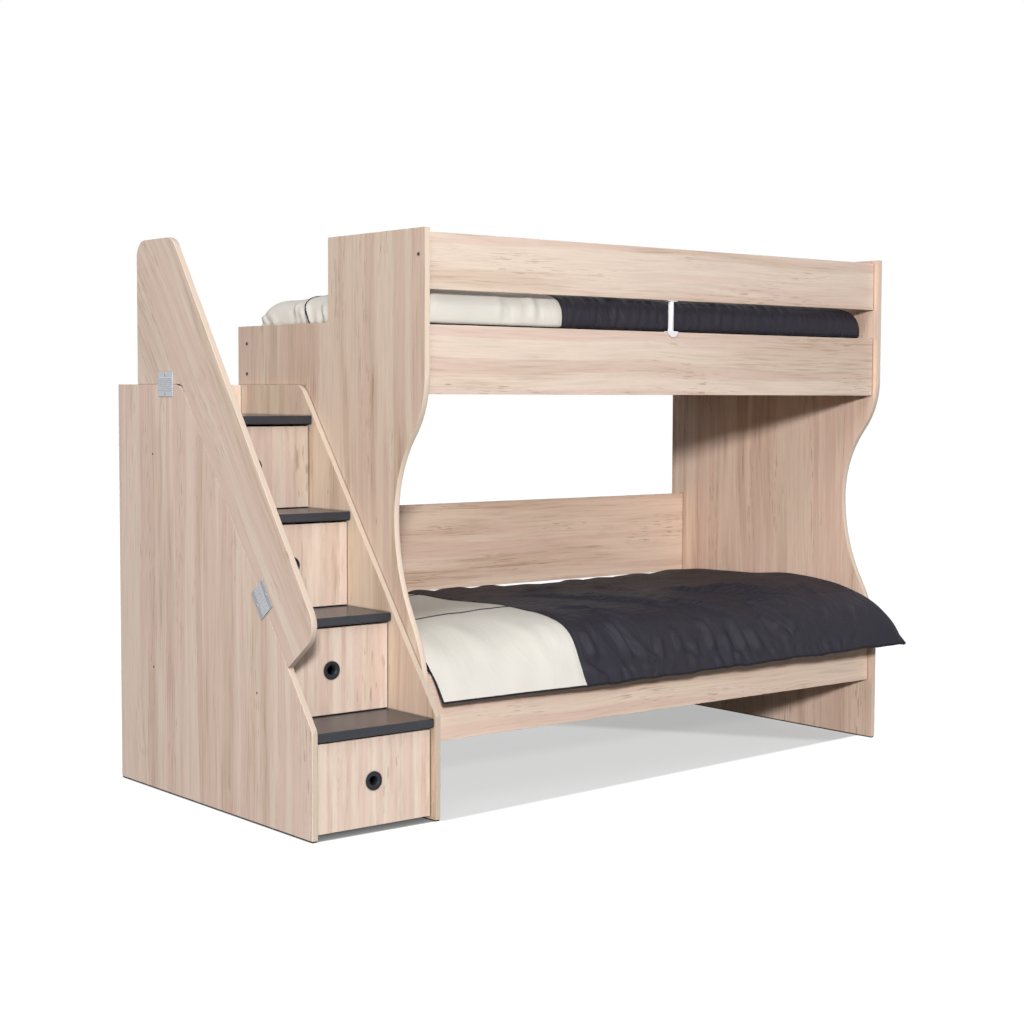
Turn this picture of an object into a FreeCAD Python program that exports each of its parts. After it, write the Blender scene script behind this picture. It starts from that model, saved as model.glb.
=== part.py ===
import FreeCAD, Part
import math
import os

from FreeCAD import Vector

# Bunk bed for one over one sleeper, with a staircase of four drawers standing against its left end.
# The pieces are built with X running from the stair's outer face to the bed's right end, Y from the
# wall (zero) to the front (minus) and Z up from the floor, and are moved to the origin when written.

# Boards and gaps
boardThickness = 18.0
treadThickness = 25.0
footStripHeight = 4.0
footStripInset = 2.0
seatGap = 0.3
cutOverrun = 5.0
pointTolerance = 1e-6

# Bed
clearLength = 1920.0
panelDepth = 1010.0
bedHeight = 1660.0
entryWidth = 522.0
entryDepth = 252.0
entryCornerRadius = 6.0
curveTopHeight = 1248.0
waistHeight = 842.0
curveFootHeight = 315.0
waistInset = 147.0
upperBendShare = 0.42
lowerBendShare = 0.56

# Rails and boards along the bed
frontSetback = 20.0
rearSetback = 45.0
railHeight = 196.0
lowerRailBottom = 204.0
guardTopDrop = 10.0
guardHeight = 160.0
guardGap = 99.0
rearGuardLength = 1400.0
rearPostWidth = 80.0
backBoardBottom = 517.0
backBoardHeight = 298.0

# Slatted bases
ledgeHeight = 32.0
ledgeWidth = 25.0
ledgeEndGap = 20.0
slatThickness = 18.0
slatWidth = 70.0
slatCount = 13
slatEndGap = 1.0

# Strut between the front rail and the front guard
strutRadius = 9.0
strutPlateThickness = 3.0
strutPlateWidth = 42.0
strutTongueDrop = 16.0

# Heads of the bolts through the end panels
boltHeadRadius = 5.0
boltHeadHeight = 2.5
railBoltRise = 62.0
railBoltSpacing = 96.0
guardBoltDrop = 64.0

# Staircase
stairWidth = 425.0
stairDepth = 1086.0
stairRailLap = 26.0
stairFrontRise = 8.0
stairTopLength = 395.0
stairTopRadius = 90.0
stairInnerTopRadius = 50.0
stairFrontRadius = 20.0
stairBackInset = 30.0
stairBackBottom = 60.0
stepCount = 4
firstTreadTop = 290.0
treadRun = 206.85
treadSetback = 7.0
treadDepth = 250.0
treadNoseRadius = 4.0

# Guard panel beside the steps, and its fixing plates
guardRearInset = 126.0
guardFootHeight = 457.0
guardCornerWidth = 205.0
guardFootWidth = 179.0
guardRearRadius = 48.0
guardFrontRadius = 60.0
guardFootRadius = 65.0
plateLength = 86.0
plateWidth = 72.0
plateThickness = 2.5
plateRibCount = 7
plateRibHeight = 1.5
plateRibPitch = 5.8
plateRibWidth = 3.8
plateRibSlope = 1.0
upperPlateInset = 303.0
lowerPlateHeight = 630.0
plateScrewOffset = 28.0
screwHeadRadius = 5.0
screwHeadHeight = 2.0

# Round plate of the link between the stair and the left end panel
linkPlateRadius = 6.0
linkPlateThickness = 2.0
linkPlateRise = 4.0
linkPlateDish = 0.6
linkPlateRim = 2.2

# Drawers
drawerSideGap = 2.0
drawerGapBelow = 3.0
drawerGapAbove = 7.0
drawerSetback = 14.6
drawerWall = 12.0
drawerBottomThickness = 3.0
drawerBoxHeight = 160.0
drawerBoxLift = 20.0
drawerRearClearance = 18.0
pullRise = 125.0
pullRadius = 26.0
pullSleeveRadius = 18.0
pullBoreRadius = 13.0
pullFlangeHeight = 4.0
pullRimHeight = 1.5
pullRimWidth = 3.0
pullDishShare = 0.55
pullHoleClearance = 0.2

# Drawer slides
slideSpace = 12.0
slideSheet = 1.2
slideHeight = 35.0
slideFlange = 10.0
slideClearance = 0.3
slideRise = 60.0
slideEndGap = 10.0

# Bedding
mattressEndGap = 10.0
mattressSideGap = 4.5
mattressThickness = 150.0
mattressCornerRadius = 50.0
mattressRimInset = 8.0
mattressRimHeight = 12.0
upperDuvetHeight = 105.0
upperDuvetSideGap = 8.0
upperDuvetLeftGap = 10.0
upperDuvetRightGap = 30.0
lowerDuvetHeight = 140.0
lowerDuvetRearGap = 17.0
lowerDuvetLeftGap = 17.0
lowerDuvetRightGap = 13.0
lowerDuvetLeftOverhang = 55.0
lowerDuvetRightOverhang = 176.0
lowerDuvetLeftDrop = 77.0
lowerDuvetRightDrop = 44.0
lowerDuvetHemDepth = 40.0
lowerDuvetHemWidth = 16.0
lowerDuvetRailGap = 4.0
duvetFoldDepth = 7.0
duvetFoldCount = 4
duvetFoldSteps = 24
duvetEndRound = 45.0
duvetEndSteps = 3
duvetEndShare = 0.6
duvetTuckShare = 0.18
duvetShoulderShare = 0.55
duvetRearTopShare = 0.86
duvetFrontTopShare = 0.8
lowerDuvetFrontTopShare = 0.9
lowerDuvetFrontDepthShare = 0.8
duvetBulgeShare = 0.42
duvetSlopeShare = 0.15

# Worked out from the sizes above
leftPanelX = stairWidth
innerLeftX = leftPanelX + boardThickness
innerRightX = innerLeftX + clearLength
totalLength = innerRightX + boardThickness
midX = (innerLeftX + innerRightX) / 2
frontRailY = -panelDepth + frontSetback
frontRailBackY = frontRailY + boardThickness
rearRailY = -rearSetback
rearRailFrontY = rearRailY - boardThickness
sillHeight = bedHeight - entryDepth
guardTop = bedHeight - guardTopDrop
guardBottom = guardTop - guardHeight
upperRailTop = guardBottom - guardGap
upperRailBottom = upperRailTop - railHeight
lowerRailTop = lowerRailBottom + railHeight
# The steps share out the climb to the sill of the upper bunk's entry.
treadRise = (sillHeight - firstTreadTop) / stepCount
stairHeight = upperRailBottom + stairRailLap
stairFrontEdgeHeight = firstTreadTop + stairFrontRise
stairInnerX = stairWidth - boardThickness
stairBackFrontY = -stairBackInset - boardThickness
slopeLength = math.hypot(stairDepth - stairTopLength, stairHeight - stairFrontEdgeHeight)
slopeY = (stairDepth - stairTopLength) / slopeLength
slopeZ = (stairHeight - stairFrontEdgeHeight) / slopeLength
slopeAngle = math.degrees(math.atan2(slopeZ, slopeY))
drawerFrontHeight = treadRise - treadThickness - drawerGapBelow - drawerGapAbove
drawerFrontLeftX = boardThickness + drawerSideGap
drawerFrontRightX = stairInnerX - drawerSideGap
drawerBoxLeftX = boardThickness + slideSpace
drawerBoxRightX = stairInnerX - slideSpace
landingFrontY = -stairDepth + treadSetback + (stepCount - 1) * treadRun
drawerBoxDepth = stairBackFrontY - drawerRearClearance - (landingFrontY + drawerSetback + boardThickness)
stairMidX = stairWidth / 2
plateReach = plateThickness + max(plateRibHeight, screwHeadHeight)
originX = (totalLength + boltHeadHeight - plateReach) / 2
originY = (frontRailY - lowerDuvetRightOverhang) / 2

nodes = {}


def block(x0, x1, y0, y1, z0, z1):
    return Part.makeBox(x1 - x0, y1 - y0, z1 - z0, Vector(x0, y0, z0))


def outlineFace(x, start, steps):
    # An outline in the plane at x: each step is the next corner, or an arc's middle and end.
    here = Vector(x, *start)
    edges = []
    for step in steps + [(start,)]:
        end = Vector(x, *step[-1])
        if end.isEqual(here, pointTolerance):
            continue
        if len(step) == 2:
            edges.append(Part.Arc(here, Vector(x, *step[0]), end).toShape())
        else:
            edges.append(Part.LineSegment(here, end).toShape())
        here = end
    return Part.Face(Part.Wire(edges))


def roundedSteps(corners):
    # Turns corners (y, z, radius) into outline steps, with an arc at each corner that has a radius.
    steps = []
    count = len(corners)
    for i, (y, z, radius) in enumerate(corners):
        here = Vector(0, y, z)
        if radius == 0:
            steps.append(((y, z),))
            continue
        before = Vector(0, *corners[i - 1][:2]) - here
        after = Vector(0, *corners[(i + 1) % count][:2]) - here
        before.normalize()
        after.normalize()
        half = before.getAngle(after) / 2
        inward = (before + after).normalize()
        reach = radius / math.tan(half)
        middle = here + inward * (radius / math.sin(half) - radius)
        first = here + before * reach
        last = here + after * reach
        steps.append(((first.y, first.z),))
        steps.append(((middle.y, middle.z), (last.y, last.z)))
    return steps


def plateFromCorners(corners, x, thickness):
    steps = roundedSteps(corners)
    face = outlineFace(x, steps[0][-1], steps[1:])
    return face.extrude(Vector(thickness, 0, 0))


def waveSteps(start, end, share):
    # Two tangent arcs between two points where the edge runs upright; share places the change of bend.
    across = end[0] - start[0]
    along = end[1] - start[1]
    turn = 2 * math.atan(abs(across / along))
    radius = abs(along) / math.sin(turn)
    sideways = math.copysign(radius * (1 - math.cos(turn / 2)), across)
    onward = math.copysign(radius * math.sin(turn / 2), along)
    change = (start[0] + share * across, start[1] + share * along)
    firstMiddle = (start[0] + share * sideways, start[1] + share * onward)
    lastMiddle = (end[0] - (1 - share) * sideways, end[1] - (1 - share) * onward)
    return [(firstMiddle, change), (lastMiddle, end)]


def endPanel(x, hasEntry):
    foot = footStripHeight
    waist = (-panelDepth + waistInset, waistHeight)
    steps = []
    if hasEntry:
        corner = entryCornerRadius
        bend = corner * (1 - math.sqrt(0.5))
        steps += [((0, sillHeight),), ((-entryWidth + corner, sillHeight),)]
        steps += [((-entryWidth + bend, sillHeight + bend), (-entryWidth, sillHeight + corner))]
        steps += [((-entryWidth, bedHeight),)]
    else:
        steps += [((0, bedHeight),)]
    steps += [((-panelDepth, bedHeight),), ((-panelDepth, curveTopHeight),)]
    steps += waveSteps((-panelDepth, curveTopHeight), waist, upperBendShare)
    steps += waveSteps(waist, (-panelDepth, curveFootHeight), lowerBendShare)
    steps += [((-panelDepth, foot),)]
    return outlineFace(x, (0, foot), steps).extrude(Vector(boardThickness, 0, 0))


def longBoard(frontY, bottom, height, startX=innerLeftX):
    return block(startX, innerRightX, frontY, frontY + boardThickness, bottom, bottom + height)


def boltPlaces():
    # Each bolt: height on the rail's middle plane, for the left and the right end panel.
    frontY = frontRailY + boardThickness / 2
    rearY = rearRailFrontY + boardThickness / 2
    pair = (railBoltRise, railBoltRise + railBoltSpacing)
    upper = [upperRailBottom + rise for rise in pair]
    lower = [lowerRailBottom + rise for rise in pair]
    back = [backBoardBottom + railBoltRise, backBoardBottom + backBoardHeight - railBoltRise]
    guard = guardTop - guardBoltDrop
    left = [(frontY, guard)] + [(rearY, z) for z in upper]
    right = [(frontY, z) for z in lower + upper + [guard]]
    right += [(rearY, z) for z in lower + back + upper + [guard]]
    return left, right


def addBedFrame():
    nodes["left_end_panel"] = endPanel(leftPanelX, True)
    nodes["right_end_panel"] = endPanel(innerRightX, False)
    nodes["upper_front_rail"] = longBoard(frontRailY, upperRailBottom, railHeight)
    nodes["upper_rear_rail"] = longBoard(rearRailFrontY, upperRailBottom, railHeight)
    nodes["upper_front_guard"] = longBoard(frontRailY, guardBottom, guardHeight)
    rearGuardX = innerRightX - rearGuardLength
    nodes["upper_rear_guard"] = longBoard(rearRailFrontY, guardBottom, guardHeight, rearGuardX)
    nodes["rear_guard_post"] = block(rearGuardX, rearGuardX + rearPostWidth, rearRailY,
                                     rearRailY + boardThickness, upperRailBottom, guardTop)
    nodes["lower_front_rail"] = longBoard(frontRailY, lowerRailBottom, railHeight)
    nodes["lower_rear_rail"] = longBoard(rearRailFrontY, lowerRailBottom, railHeight)
    nodes["lower_back_board"] = longBoard(rearRailFrontY, backBoardBottom, backBoardHeight)
    strips = []
    for x in (leftPanelX, innerRightX):
        strips.append(block(x + footStripInset, x + boardThickness - footStripInset,
                            -panelDepth + footStripInset, -footStripInset, 0, footStripHeight))
    nodes["bed_foot_strips"] = Part.makeCompound(strips)


def addBoltHeads():
    left, right = boltPlaces()
    heads = []
    for x, outward, places in ((leftPanelX, -1, left), (totalLength, 1, right)):
        for y, z in places:
            place = Vector(x, y, z)
            heads.append(Part.makeCylinder(boltHeadRadius, boltHeadHeight, place, Vector(outward, 0, 0)))
    nodes["bed_bolt_heads"] = Part.makeCompound(heads)


def addSlattedBase(level, railBottom):
    ledgeTop = railBottom + ledgeHeight
    x0 = innerLeftX + ledgeEndGap
    x1 = innerRightX - ledgeEndGap
    front = block(x0, x1, frontRailBackY, frontRailBackY + ledgeWidth, railBottom, ledgeTop)
    rear = block(x0, x1, rearRailFrontY - ledgeWidth, rearRailFrontY, railBottom, ledgeTop)
    nodes[level + "_slat_ledges"] = Part.makeCompound([front, rear])
    pitch = (x1 - x0 - slatWidth) / (slatCount - 1)
    slats = []
    for i in range(slatCount):
        x = x0 + i * pitch
        slats.append(block(x, x + slatWidth, frontRailBackY + slatEndGap, rearRailFrontY - slatEndGap,
                           ledgeTop, ledgeTop + slatThickness))
    nodes[level + "_slats"] = Part.makeCompound(slats)


def addStrut():
    middleY = frontRailY + boardThickness / 2
    x0 = midX - strutPlateWidth / 2
    x1 = midX + strutPlateWidth / 2
    foot = upperRailTop + strutPlateThickness
    head = guardBottom - strutPlateThickness
    nodes["guard_strut"] = Part.makeCylinder(strutRadius, head - foot, Vector(midX, middleY, foot))
    nodes["guard_strut_plate"] = block(x0, x1, frontRailY, frontRailBackY, head, guardBottom)
    # The saddle is an angle: a seat on the rail's top edge and a tongue with a round end down its face.
    seat = block(x0, x1, frontRailY - strutPlateThickness, frontRailBackY, upperRailTop, foot)
    left = Vector(x0, frontRailY, upperRailTop)
    right = Vector(x1, frontRailY, upperRailTop)
    low = Vector(midX, frontRailY, upperRailTop - strutTongueDrop)
    outline = Part.Wire([Part.LineSegment(right, left).toShape(), Part.Arc(left, low, right).toShape()])
    tongue = Part.Face(outline).extrude(Vector(0, -strutPlateThickness, 0))
    nodes["guard_strut_saddle"] = seat.fuse(tongue).removeSplitter()


def stairSide(x, topRadius):
    corners = [(0, footStripHeight, 0), (0, stairHeight, 0), (-stairTopLength, stairHeight, topRadius),
               (-stairDepth, stairFrontEdgeHeight, stairFrontRadius), (-stairDepth, footStripHeight, 0)]
    return plateFromCorners(corners, x, boardThickness)


def treadTop(step):
    return firstTreadTop + step * treadRise


def treadFront(step):
    return -stairDepth + treadSetback + step * treadRun


def tread(step):
    rear = treadFront(step) + treadDepth
    if step == stepCount - 1:
        rear = stairBackFrontY
    top = treadTop(step)
    front = treadFront(step)
    board = block(boardThickness, stairInnerX, front, rear, top - treadThickness, top)
    nose = [edge for edge in board.Edges if edge.BoundBox.YMax < front + treadNoseRadius]
    nose = [edge for edge in nose if edge.BoundBox.XLength > treadThickness]
    return board.makeFillet(treadNoseRadius, nose)


def addStair():
    nodes["stair_outer_panel"] = stairSide(0, stairTopRadius)
    nodes["stair_inner_panel"] = stairSide(stairInnerX, stairInnerTopRadius)
    nodes["stair_back_panel"] = block(boardThickness, stairInnerX, stairBackFrontY, -stairBackInset,
                                      stairBackBottom, stairHeight)
    strips = []
    for x in (0, stairInnerX):
        strips.append(block(x + footStripInset, x + boardThickness - footStripInset,
                            -stairDepth + footStripInset, -footStripInset, 0, footStripHeight))
    nodes["stair_foot_strips"] = Part.makeCompound(strips)
    for step in range(stepCount):
        nodes["tread_%d" % (step + 1)] = tread(step)
    # A round plate on the bed's end panel, just above the inner side's top corner.
    seat = Vector(stairWidth, -stairTopLength, stairHeight + linkPlateRise)
    outward = Vector(-1, 0, 0)
    plate = Part.makeCylinder(linkPlateRadius, linkPlateThickness, seat, outward)
    dishSeat = seat + outward * (linkPlateThickness - linkPlateDish)
    dish = Part.makeCylinder(linkPlateRadius - linkPlateRim, linkPlateThickness, dishSeat, outward)
    nodes["stair_link_plate"] = plate.cut(dish)


def seamPoint(height):
    # The point of the stair side's sloping edge at this height.
    return Vector(0, -stairTopLength - (stairHeight - height) * slopeY / slopeZ, height)


def ribbedPlate():
    # Ribs run along the plate; the plate lies on the plane x = 0 and its ribs face minus X.
    half = plateWidth / 2
    corners = [(0, -half), (-plateThickness, -half)]
    for i in range(plateRibCount):
        middle = (i - (plateRibCount - 1) / 2) * plateRibPitch
        base = plateRibWidth / 2
        crest = base - plateRibSlope
        top = -plateThickness - plateRibHeight
        corners += [(-plateThickness, middle - base), (top, middle - crest)]
        corners += [(top, middle + crest), (-plateThickness, middle + base)]
    corners += [(-plateThickness, half), (0, half)]
    points = [Vector(x, -plateLength / 2, z) for x, z in corners]
    face = Part.Face(Part.makePolygon(points + points[:1]))
    return face.extrude(Vector(0, plateLength, 0))


def addGuardPanel():
    normal = Vector(0, -slopeZ, slopeY)
    foot = seamPoint(guardFootHeight)
    inner = seamPoint(stairHeight)
    footOuter = foot + normal * guardFootWidth
    bendOuter = inner + normal * guardCornerWidth
    rise = (guardTop - footOuter.z) / (bendOuter.z - footOuter.z)
    topOuter = footOuter + (bendOuter - footOuter) * rise
    corners = [(-guardRearInset, stairHeight, 0), (-guardRearInset, guardTop, guardRearRadius),
               (topOuter.y, topOuter.z, guardFrontRadius), (footOuter.y, footOuter.z, guardFootRadius),
               (foot.y, foot.z, 0), (inner.y, inner.z, 0)]
    nodes["stair_guard_panel"] = plateFromCorners(corners, 0, boardThickness)
    screws = []
    places = {"upper": (Vector(0, -upperPlateInset, stairHeight), 0),
              "lower": (seamPoint(lowerPlateHeight), slopeAngle)}
    for name, (place, angle) in places.items():
        plate = ribbedPlate()
        plate.rotate(Vector(0, 0, 0), Vector(1, 0, 0), angle)
        plate.translate(place)
        across = Vector(0, -math.sin(math.radians(angle)), math.cos(math.radians(angle)))
        for side in (1, -1):
            spot = place + across * side * plateScrewOffset + Vector(-plateThickness, 0, 0)
            screws.append(Part.makeCylinder(screwHeadRadius, screwHeadHeight, spot, Vector(-1, 0, 0)))
        nodes["guard_plate_" + name] = plate
    nodes["guard_plate_screws"] = Part.makeCompound(screws)


def drawerPull(faceY, z):
    # A round finger pull, turned about Y: a flange with a raised rim, dished to a bore, and a sleeve.
    flange = -pullFlangeHeight
    rimInner = pullRadius - pullRimWidth
    dish = pullBoreRadius + (rimInner - pullBoreRadius) * pullDishShare
    points = [(pullBoreRadius, boardThickness), (pullSleeveRadius, boardThickness), (pullSleeveRadius, 0),
              (pullRadius, 0), (pullRadius, flange), (rimInner, flange), (rimInner, flange + pullRimHeight),
              (dish, flange + pullRimHeight), (pullBoreRadius, 0)]
    ring = [Vector(radius, y, 0) for radius, y in points]
    pull = Part.Face(Part.makePolygon(ring + ring[:1])).revolve(Vector(0, 0, 0), Vector(0, 1, 0), 360)
    pull.translate(Vector(stairMidX, faceY, z))
    return pull


def slideProfile(x, inwards, webHeight, y, length, z):
    # A sheet channel along Y: an upright web at x and two flanges that reach towards inwards (1 or -1).
    half = webHeight / 2
    sheet = inwards * slideSheet
    reach = inwards * slideFlange
    corners = [(0, -half), (reach, -half), (reach, -half + slideSheet), (sheet, -half + slideSheet),
               (sheet, half - slideSheet), (reach, half - slideSheet), (reach, half), (0, half)]
    points = [Vector(x + dx, y, z + dz) for dx, dz in corners]
    return Part.Face(Part.makePolygon(points + points[:1])).extrude(Vector(0, length, 0))


def addDrawer(step):
    name = "drawer_%d_" % (step + 1)
    faceY = treadFront(step) + drawerSetback
    backY = faceY + boardThickness
    endY = backY + drawerBoxDepth
    z0 = treadTop(step) - treadThickness - drawerGapAbove - drawerFrontHeight
    boxZ = z0 + drawerBoxLift
    boxTop = boxZ + drawerBoxHeight
    pullZ = z0 + pullRise
    front = block(drawerFrontLeftX, drawerFrontRightX, faceY, backY, z0, z0 + drawerFrontHeight)
    hole = Part.makeCylinder(pullSleeveRadius + pullHoleClearance, boardThickness + 2 * cutOverrun,
                             Vector(stairMidX, faceY - cutOverrun, pullZ), Vector(0, 1, 0))
    nodes[name + "front"] = front.cut(hole)
    nodes[name + "pull"] = drawerPull(faceY, pullZ)
    left = block(drawerBoxLeftX, drawerBoxLeftX + drawerWall, backY, endY, boxZ, boxTop)
    right = block(drawerBoxRightX - drawerWall, drawerBoxRightX, backY, endY, boxZ, boxTop)
    rear = block(drawerBoxLeftX + drawerWall, drawerBoxRightX - drawerWall, endY - drawerWall, endY,
                 boxZ, boxTop)
    nodes[name + "walls"] = Part.makeCompound([left, right, rear])
    nodes[name + "bottom"] = block(drawerBoxLeftX, drawerBoxRightX, backY, endY,
                                   boxZ - drawerBottomThickness, boxZ)
    # Each slide is a channel on the stair's side with a narrower one nested in it on the drawer's wall.
    slideZ = boxZ + slideRise
    slideY = backY + slideEndGap
    length = drawerBoxDepth - 2 * slideEndGap
    nested = slideHeight - 2 * (slideSheet + slideClearance)
    fixed = [slideProfile(boardThickness, 1, slideHeight, slideY, length, slideZ),
             slideProfile(stairInnerX, -1, slideHeight, slideY, length, slideZ)]
    moving = [slideProfile(drawerBoxLeftX, -1, nested, slideY, length, slideZ),
              slideProfile(drawerBoxRightX, 1, nested, slideY, length, slideZ)]
    nodes[name + "rails"] = Part.makeCompound(fixed)
    nodes[name + "slides"] = Part.makeCompound(moving)


def roundedRectangle(inset, z):
    # A mattress outline at height z, drawn in by inset all round.
    middleY = (frontRailBackY + rearRailFrontY) / 2
    radius = mattressCornerRadius - inset
    dx = clearLength / 2 - mattressEndGap - inset
    dy = (rearRailFrontY - frontRailBackY) / 2 - mattressSideGap - inset
    bend = radius * (1 - math.sqrt(0.5))
    edges = []
    for turn in range(4):
        sx = (1, -1, -1, 1)[turn]
        sy = (1, 1, -1, -1)[turn]
        level = Vector(midX + sx * (dx - radius), middleY + sy * dy, z)
        upright = Vector(midX + sx * dx, middleY + sy * (dy - radius), z)
        middle = Vector(midX + sx * (dx - bend), middleY + sy * (dy - bend), z)
        first, last = (upright, level) if turn % 2 == 0 else (level, upright)
        if edges:
            edges.append(Part.LineSegment(edges[-1].lastVertex(True).Point, first).toShape())
        edges.append(Part.Arc(first, middle, last).toShape())
    end = edges[-1].lastVertex(True).Point
    edges.append(Part.LineSegment(end, edges[0].firstVertex(True).Point).toShape())
    return Part.Wire(edges)


def mattress(railBottom):
    # Its rims are drawn in a little by their seams.
    low = railBottom + ledgeHeight + slatThickness
    high = mattressTop(railBottom)
    levels = [(mattressRimInset, low), (0, low + mattressRimHeight), (0, high - mattressRimHeight),
              (mattressRimInset, high)]
    return Part.makeLoft([roundedRectangle(inset, z) for inset, z in levels], True, True)


def mattressTop(railBottom):
    return railBottom + ledgeHeight + slatThickness + mattressThickness


def sectionWire(x, start, steps):
    return outlineFace(x, start, steps).OuterWire


def duvetStations(length):
    # Sections along a duvet: its distance, how full it is there and how far its fold goes, from -1 to 1.
    stations = []
    for i in range(duvetEndSteps):
        turn = math.pi / 2 * i / duvetEndSteps
        full = duvetEndShare + (1 - duvetEndShare) * math.sin(turn)
        stations.append((duvetEndRound * (1 - math.cos(turn)), full, 0))
    middle = length - 2 * duvetEndRound
    for i in range(duvetFoldSteps + 1):
        share = i / duvetFoldSteps
        fold = math.sin(2 * math.pi * duvetFoldCount * share) * math.sin(math.pi * share)
        stations.append((duvetEndRound + middle * share, 1, fold))
    for distance, full, fold in reversed(stations[:duvetEndSteps]):
        stations.append((length - distance, full, fold))
    return stations


def upperDuvetSection(x, full, fold):
    # A puffed quilt between the rails: round sides drawn in at the foot, and a low crown.
    base = mattressTop(upperRailBottom) + seatGap
    rear = rearRailFrontY - upperDuvetSideGap
    front = frontRailBackY + upperDuvetSideGap
    height = upperDuvetHeight * full
    tuck = height * duvetTuckShare
    shoulder = height * duvetShoulderShare
    rearTop = (rear - shoulder, base + height * duvetRearTopShare)
    frontTop = (front + shoulder, base + height * duvetFrontTopShare)
    bulge = base + height * duvetBulgeShare
    crown = ((rear + front) / 2, base + height + fold * duvetFoldDepth)
    steps = [((rear, bulge), rearTop), (crown, frontTop), ((front, bulge), (front + tuck, base))]
    return sectionWire(x, (rear - tuck, base), steps)


def lowerDuvetSection(x, share, full, fold):
    # A quilt that lies on the mattress, passes over the front rail and hangs in front of it.
    base = mattressTop(lowerRailBottom) + seatGap
    rear = rearRailFrontY - lowerDuvetRearGap
    overhang = lowerDuvetLeftOverhang + (lowerDuvetRightOverhang - lowerDuvetLeftOverhang) * share
    drop = lowerDuvetLeftDrop + (lowerDuvetRightDrop - lowerDuvetLeftDrop) * share
    frontY = frontRailY - overhang
    hem = lowerRailTop - drop + fold * duvetFoldDepth
    height = lowerDuvetHeight * full
    rearTop = (rear - height * duvetShoulderShare, base + height * duvetRearTopShare)
    crown = ((rear + frontRailY) / 2, base + height + fold * duvetFoldDepth)
    frontTop = (frontRailY + height * lowerDuvetFrontDepthShare, base + height * lowerDuvetFrontTopShare)
    hemTop = (frontY + lowerDuvetHemWidth / 2, hem + lowerDuvetHemDepth)
    hemFoot = (frontY + lowerDuvetHemWidth, hem)
    slope = ((frontTop[0] + hemTop[0]) / 2, (frontTop[1] + hemTop[1]) / 2 + height * duvetSlopeShare)
    overRail = (frontRailY - lowerDuvetRailGap, base)
    steps = [((rear, base + height * duvetBulgeShare), rearTop), (crown, frontTop), (slope, hemTop),
             ((frontY, hem + lowerDuvetHemDepth / 2), hemFoot), (overRail,)]
    return sectionWire(x, (rear - height * duvetTuckShare, base), steps)


def addBedding():
    nodes["upper_mattress"] = mattress(upperRailBottom)
    nodes["lower_mattress"] = mattress(lowerRailBottom)
    upperX = innerLeftX + upperDuvetLeftGap
    upperLength = clearLength - upperDuvetLeftGap - upperDuvetRightGap
    lowerX = innerLeftX + lowerDuvetLeftGap
    lowerLength = clearLength - lowerDuvetLeftGap - lowerDuvetRightGap
    upper = []
    lower = []
    for distance, full, fold in duvetStations(upperLength):
        upper.append(upperDuvetSection(upperX + distance, full, fold))
    for distance, full, fold in duvetStations(lowerLength):
        lower.append(lowerDuvetSection(lowerX + distance, distance / lowerLength, full, fold))
    nodes["upper_duvet"] = Part.makeLoft(upper, True, True)
    nodes["lower_duvet"] = Part.makeLoft(lower, True, True)


def main():
    addBedFrame()
    addBoltHeads()
    addSlattedBase("upper", upperRailBottom)
    addSlattedBase("lower", lowerRailBottom)
    addStrut()
    addStair()
    addGuardPanel()
    for step in range(stepCount):
        addDrawer(step)
    addBedding()
    os.makedirs("parts", exist_ok=True)
    for name, shape in nodes.items():
        shape.translate(Vector(-originX, -originY, 0))
        if not shape.isValid():
            print("not valid:", name)
        shape.exportStep("parts/%s.step" % name)
    print(len(nodes), "nodes; origin at", round(originX, 2), round(originY, 2))


main()
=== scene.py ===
import math
import random

import bmesh
import bpy
import numpy as np
from mathutils import Matrix, Vector


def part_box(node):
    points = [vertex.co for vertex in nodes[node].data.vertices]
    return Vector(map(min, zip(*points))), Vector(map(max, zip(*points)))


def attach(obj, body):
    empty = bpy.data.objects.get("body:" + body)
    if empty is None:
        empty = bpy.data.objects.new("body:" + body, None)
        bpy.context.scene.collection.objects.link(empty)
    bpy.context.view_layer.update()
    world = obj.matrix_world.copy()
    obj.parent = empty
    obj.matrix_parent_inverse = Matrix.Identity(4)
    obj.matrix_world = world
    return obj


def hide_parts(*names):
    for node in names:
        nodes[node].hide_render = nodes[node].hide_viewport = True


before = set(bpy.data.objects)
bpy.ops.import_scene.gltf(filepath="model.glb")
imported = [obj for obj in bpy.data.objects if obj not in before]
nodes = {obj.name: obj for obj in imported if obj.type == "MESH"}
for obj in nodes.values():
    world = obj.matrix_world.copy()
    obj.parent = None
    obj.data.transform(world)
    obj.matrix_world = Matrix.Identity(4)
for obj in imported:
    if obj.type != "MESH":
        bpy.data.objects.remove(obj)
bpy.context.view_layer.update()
scene = bpy.context.scene
print("frame loaded:", len(nodes), "nodes")


# small helpers for shader trees; a source is another node's output or a plain value

def addNode(tree, kind, **settings):
    node = tree.nodes.new(kind)
    for key, value in settings.items():
        setattr(node, key, value)
    return node


def feed(socket, source):
    if isinstance(source, bpy.types.NodeSocket):
        socket.id_data.links.new(source, socket)
    else:
        socket.default_value = source


def fedNode(kind, inputs, **settings):
    # a node in the tree that its sources belong to
    tree = next(s.id_data for s in inputs.values() if isinstance(s, bpy.types.NodeSocket))
    node = addNode(tree, kind, **settings)
    for key, source in inputs.items():
        feed(node.inputs[key], source)
    return node


def calc(operation, *sources):
    return fedNode("ShaderNodeMath", dict(enumerate(sources)), operation=operation).outputs[0]


def times(*sources):
    return calc("MULTIPLY", *sources)


def vectorCalc(operation, *sources):
    return fedNode("ShaderNodeVectorMath", dict(enumerate(sources)), operation=operation).outputs[0]


def stretch(vector, factors):
    return vectorCalc("MULTIPLY", vector, factors)


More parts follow.
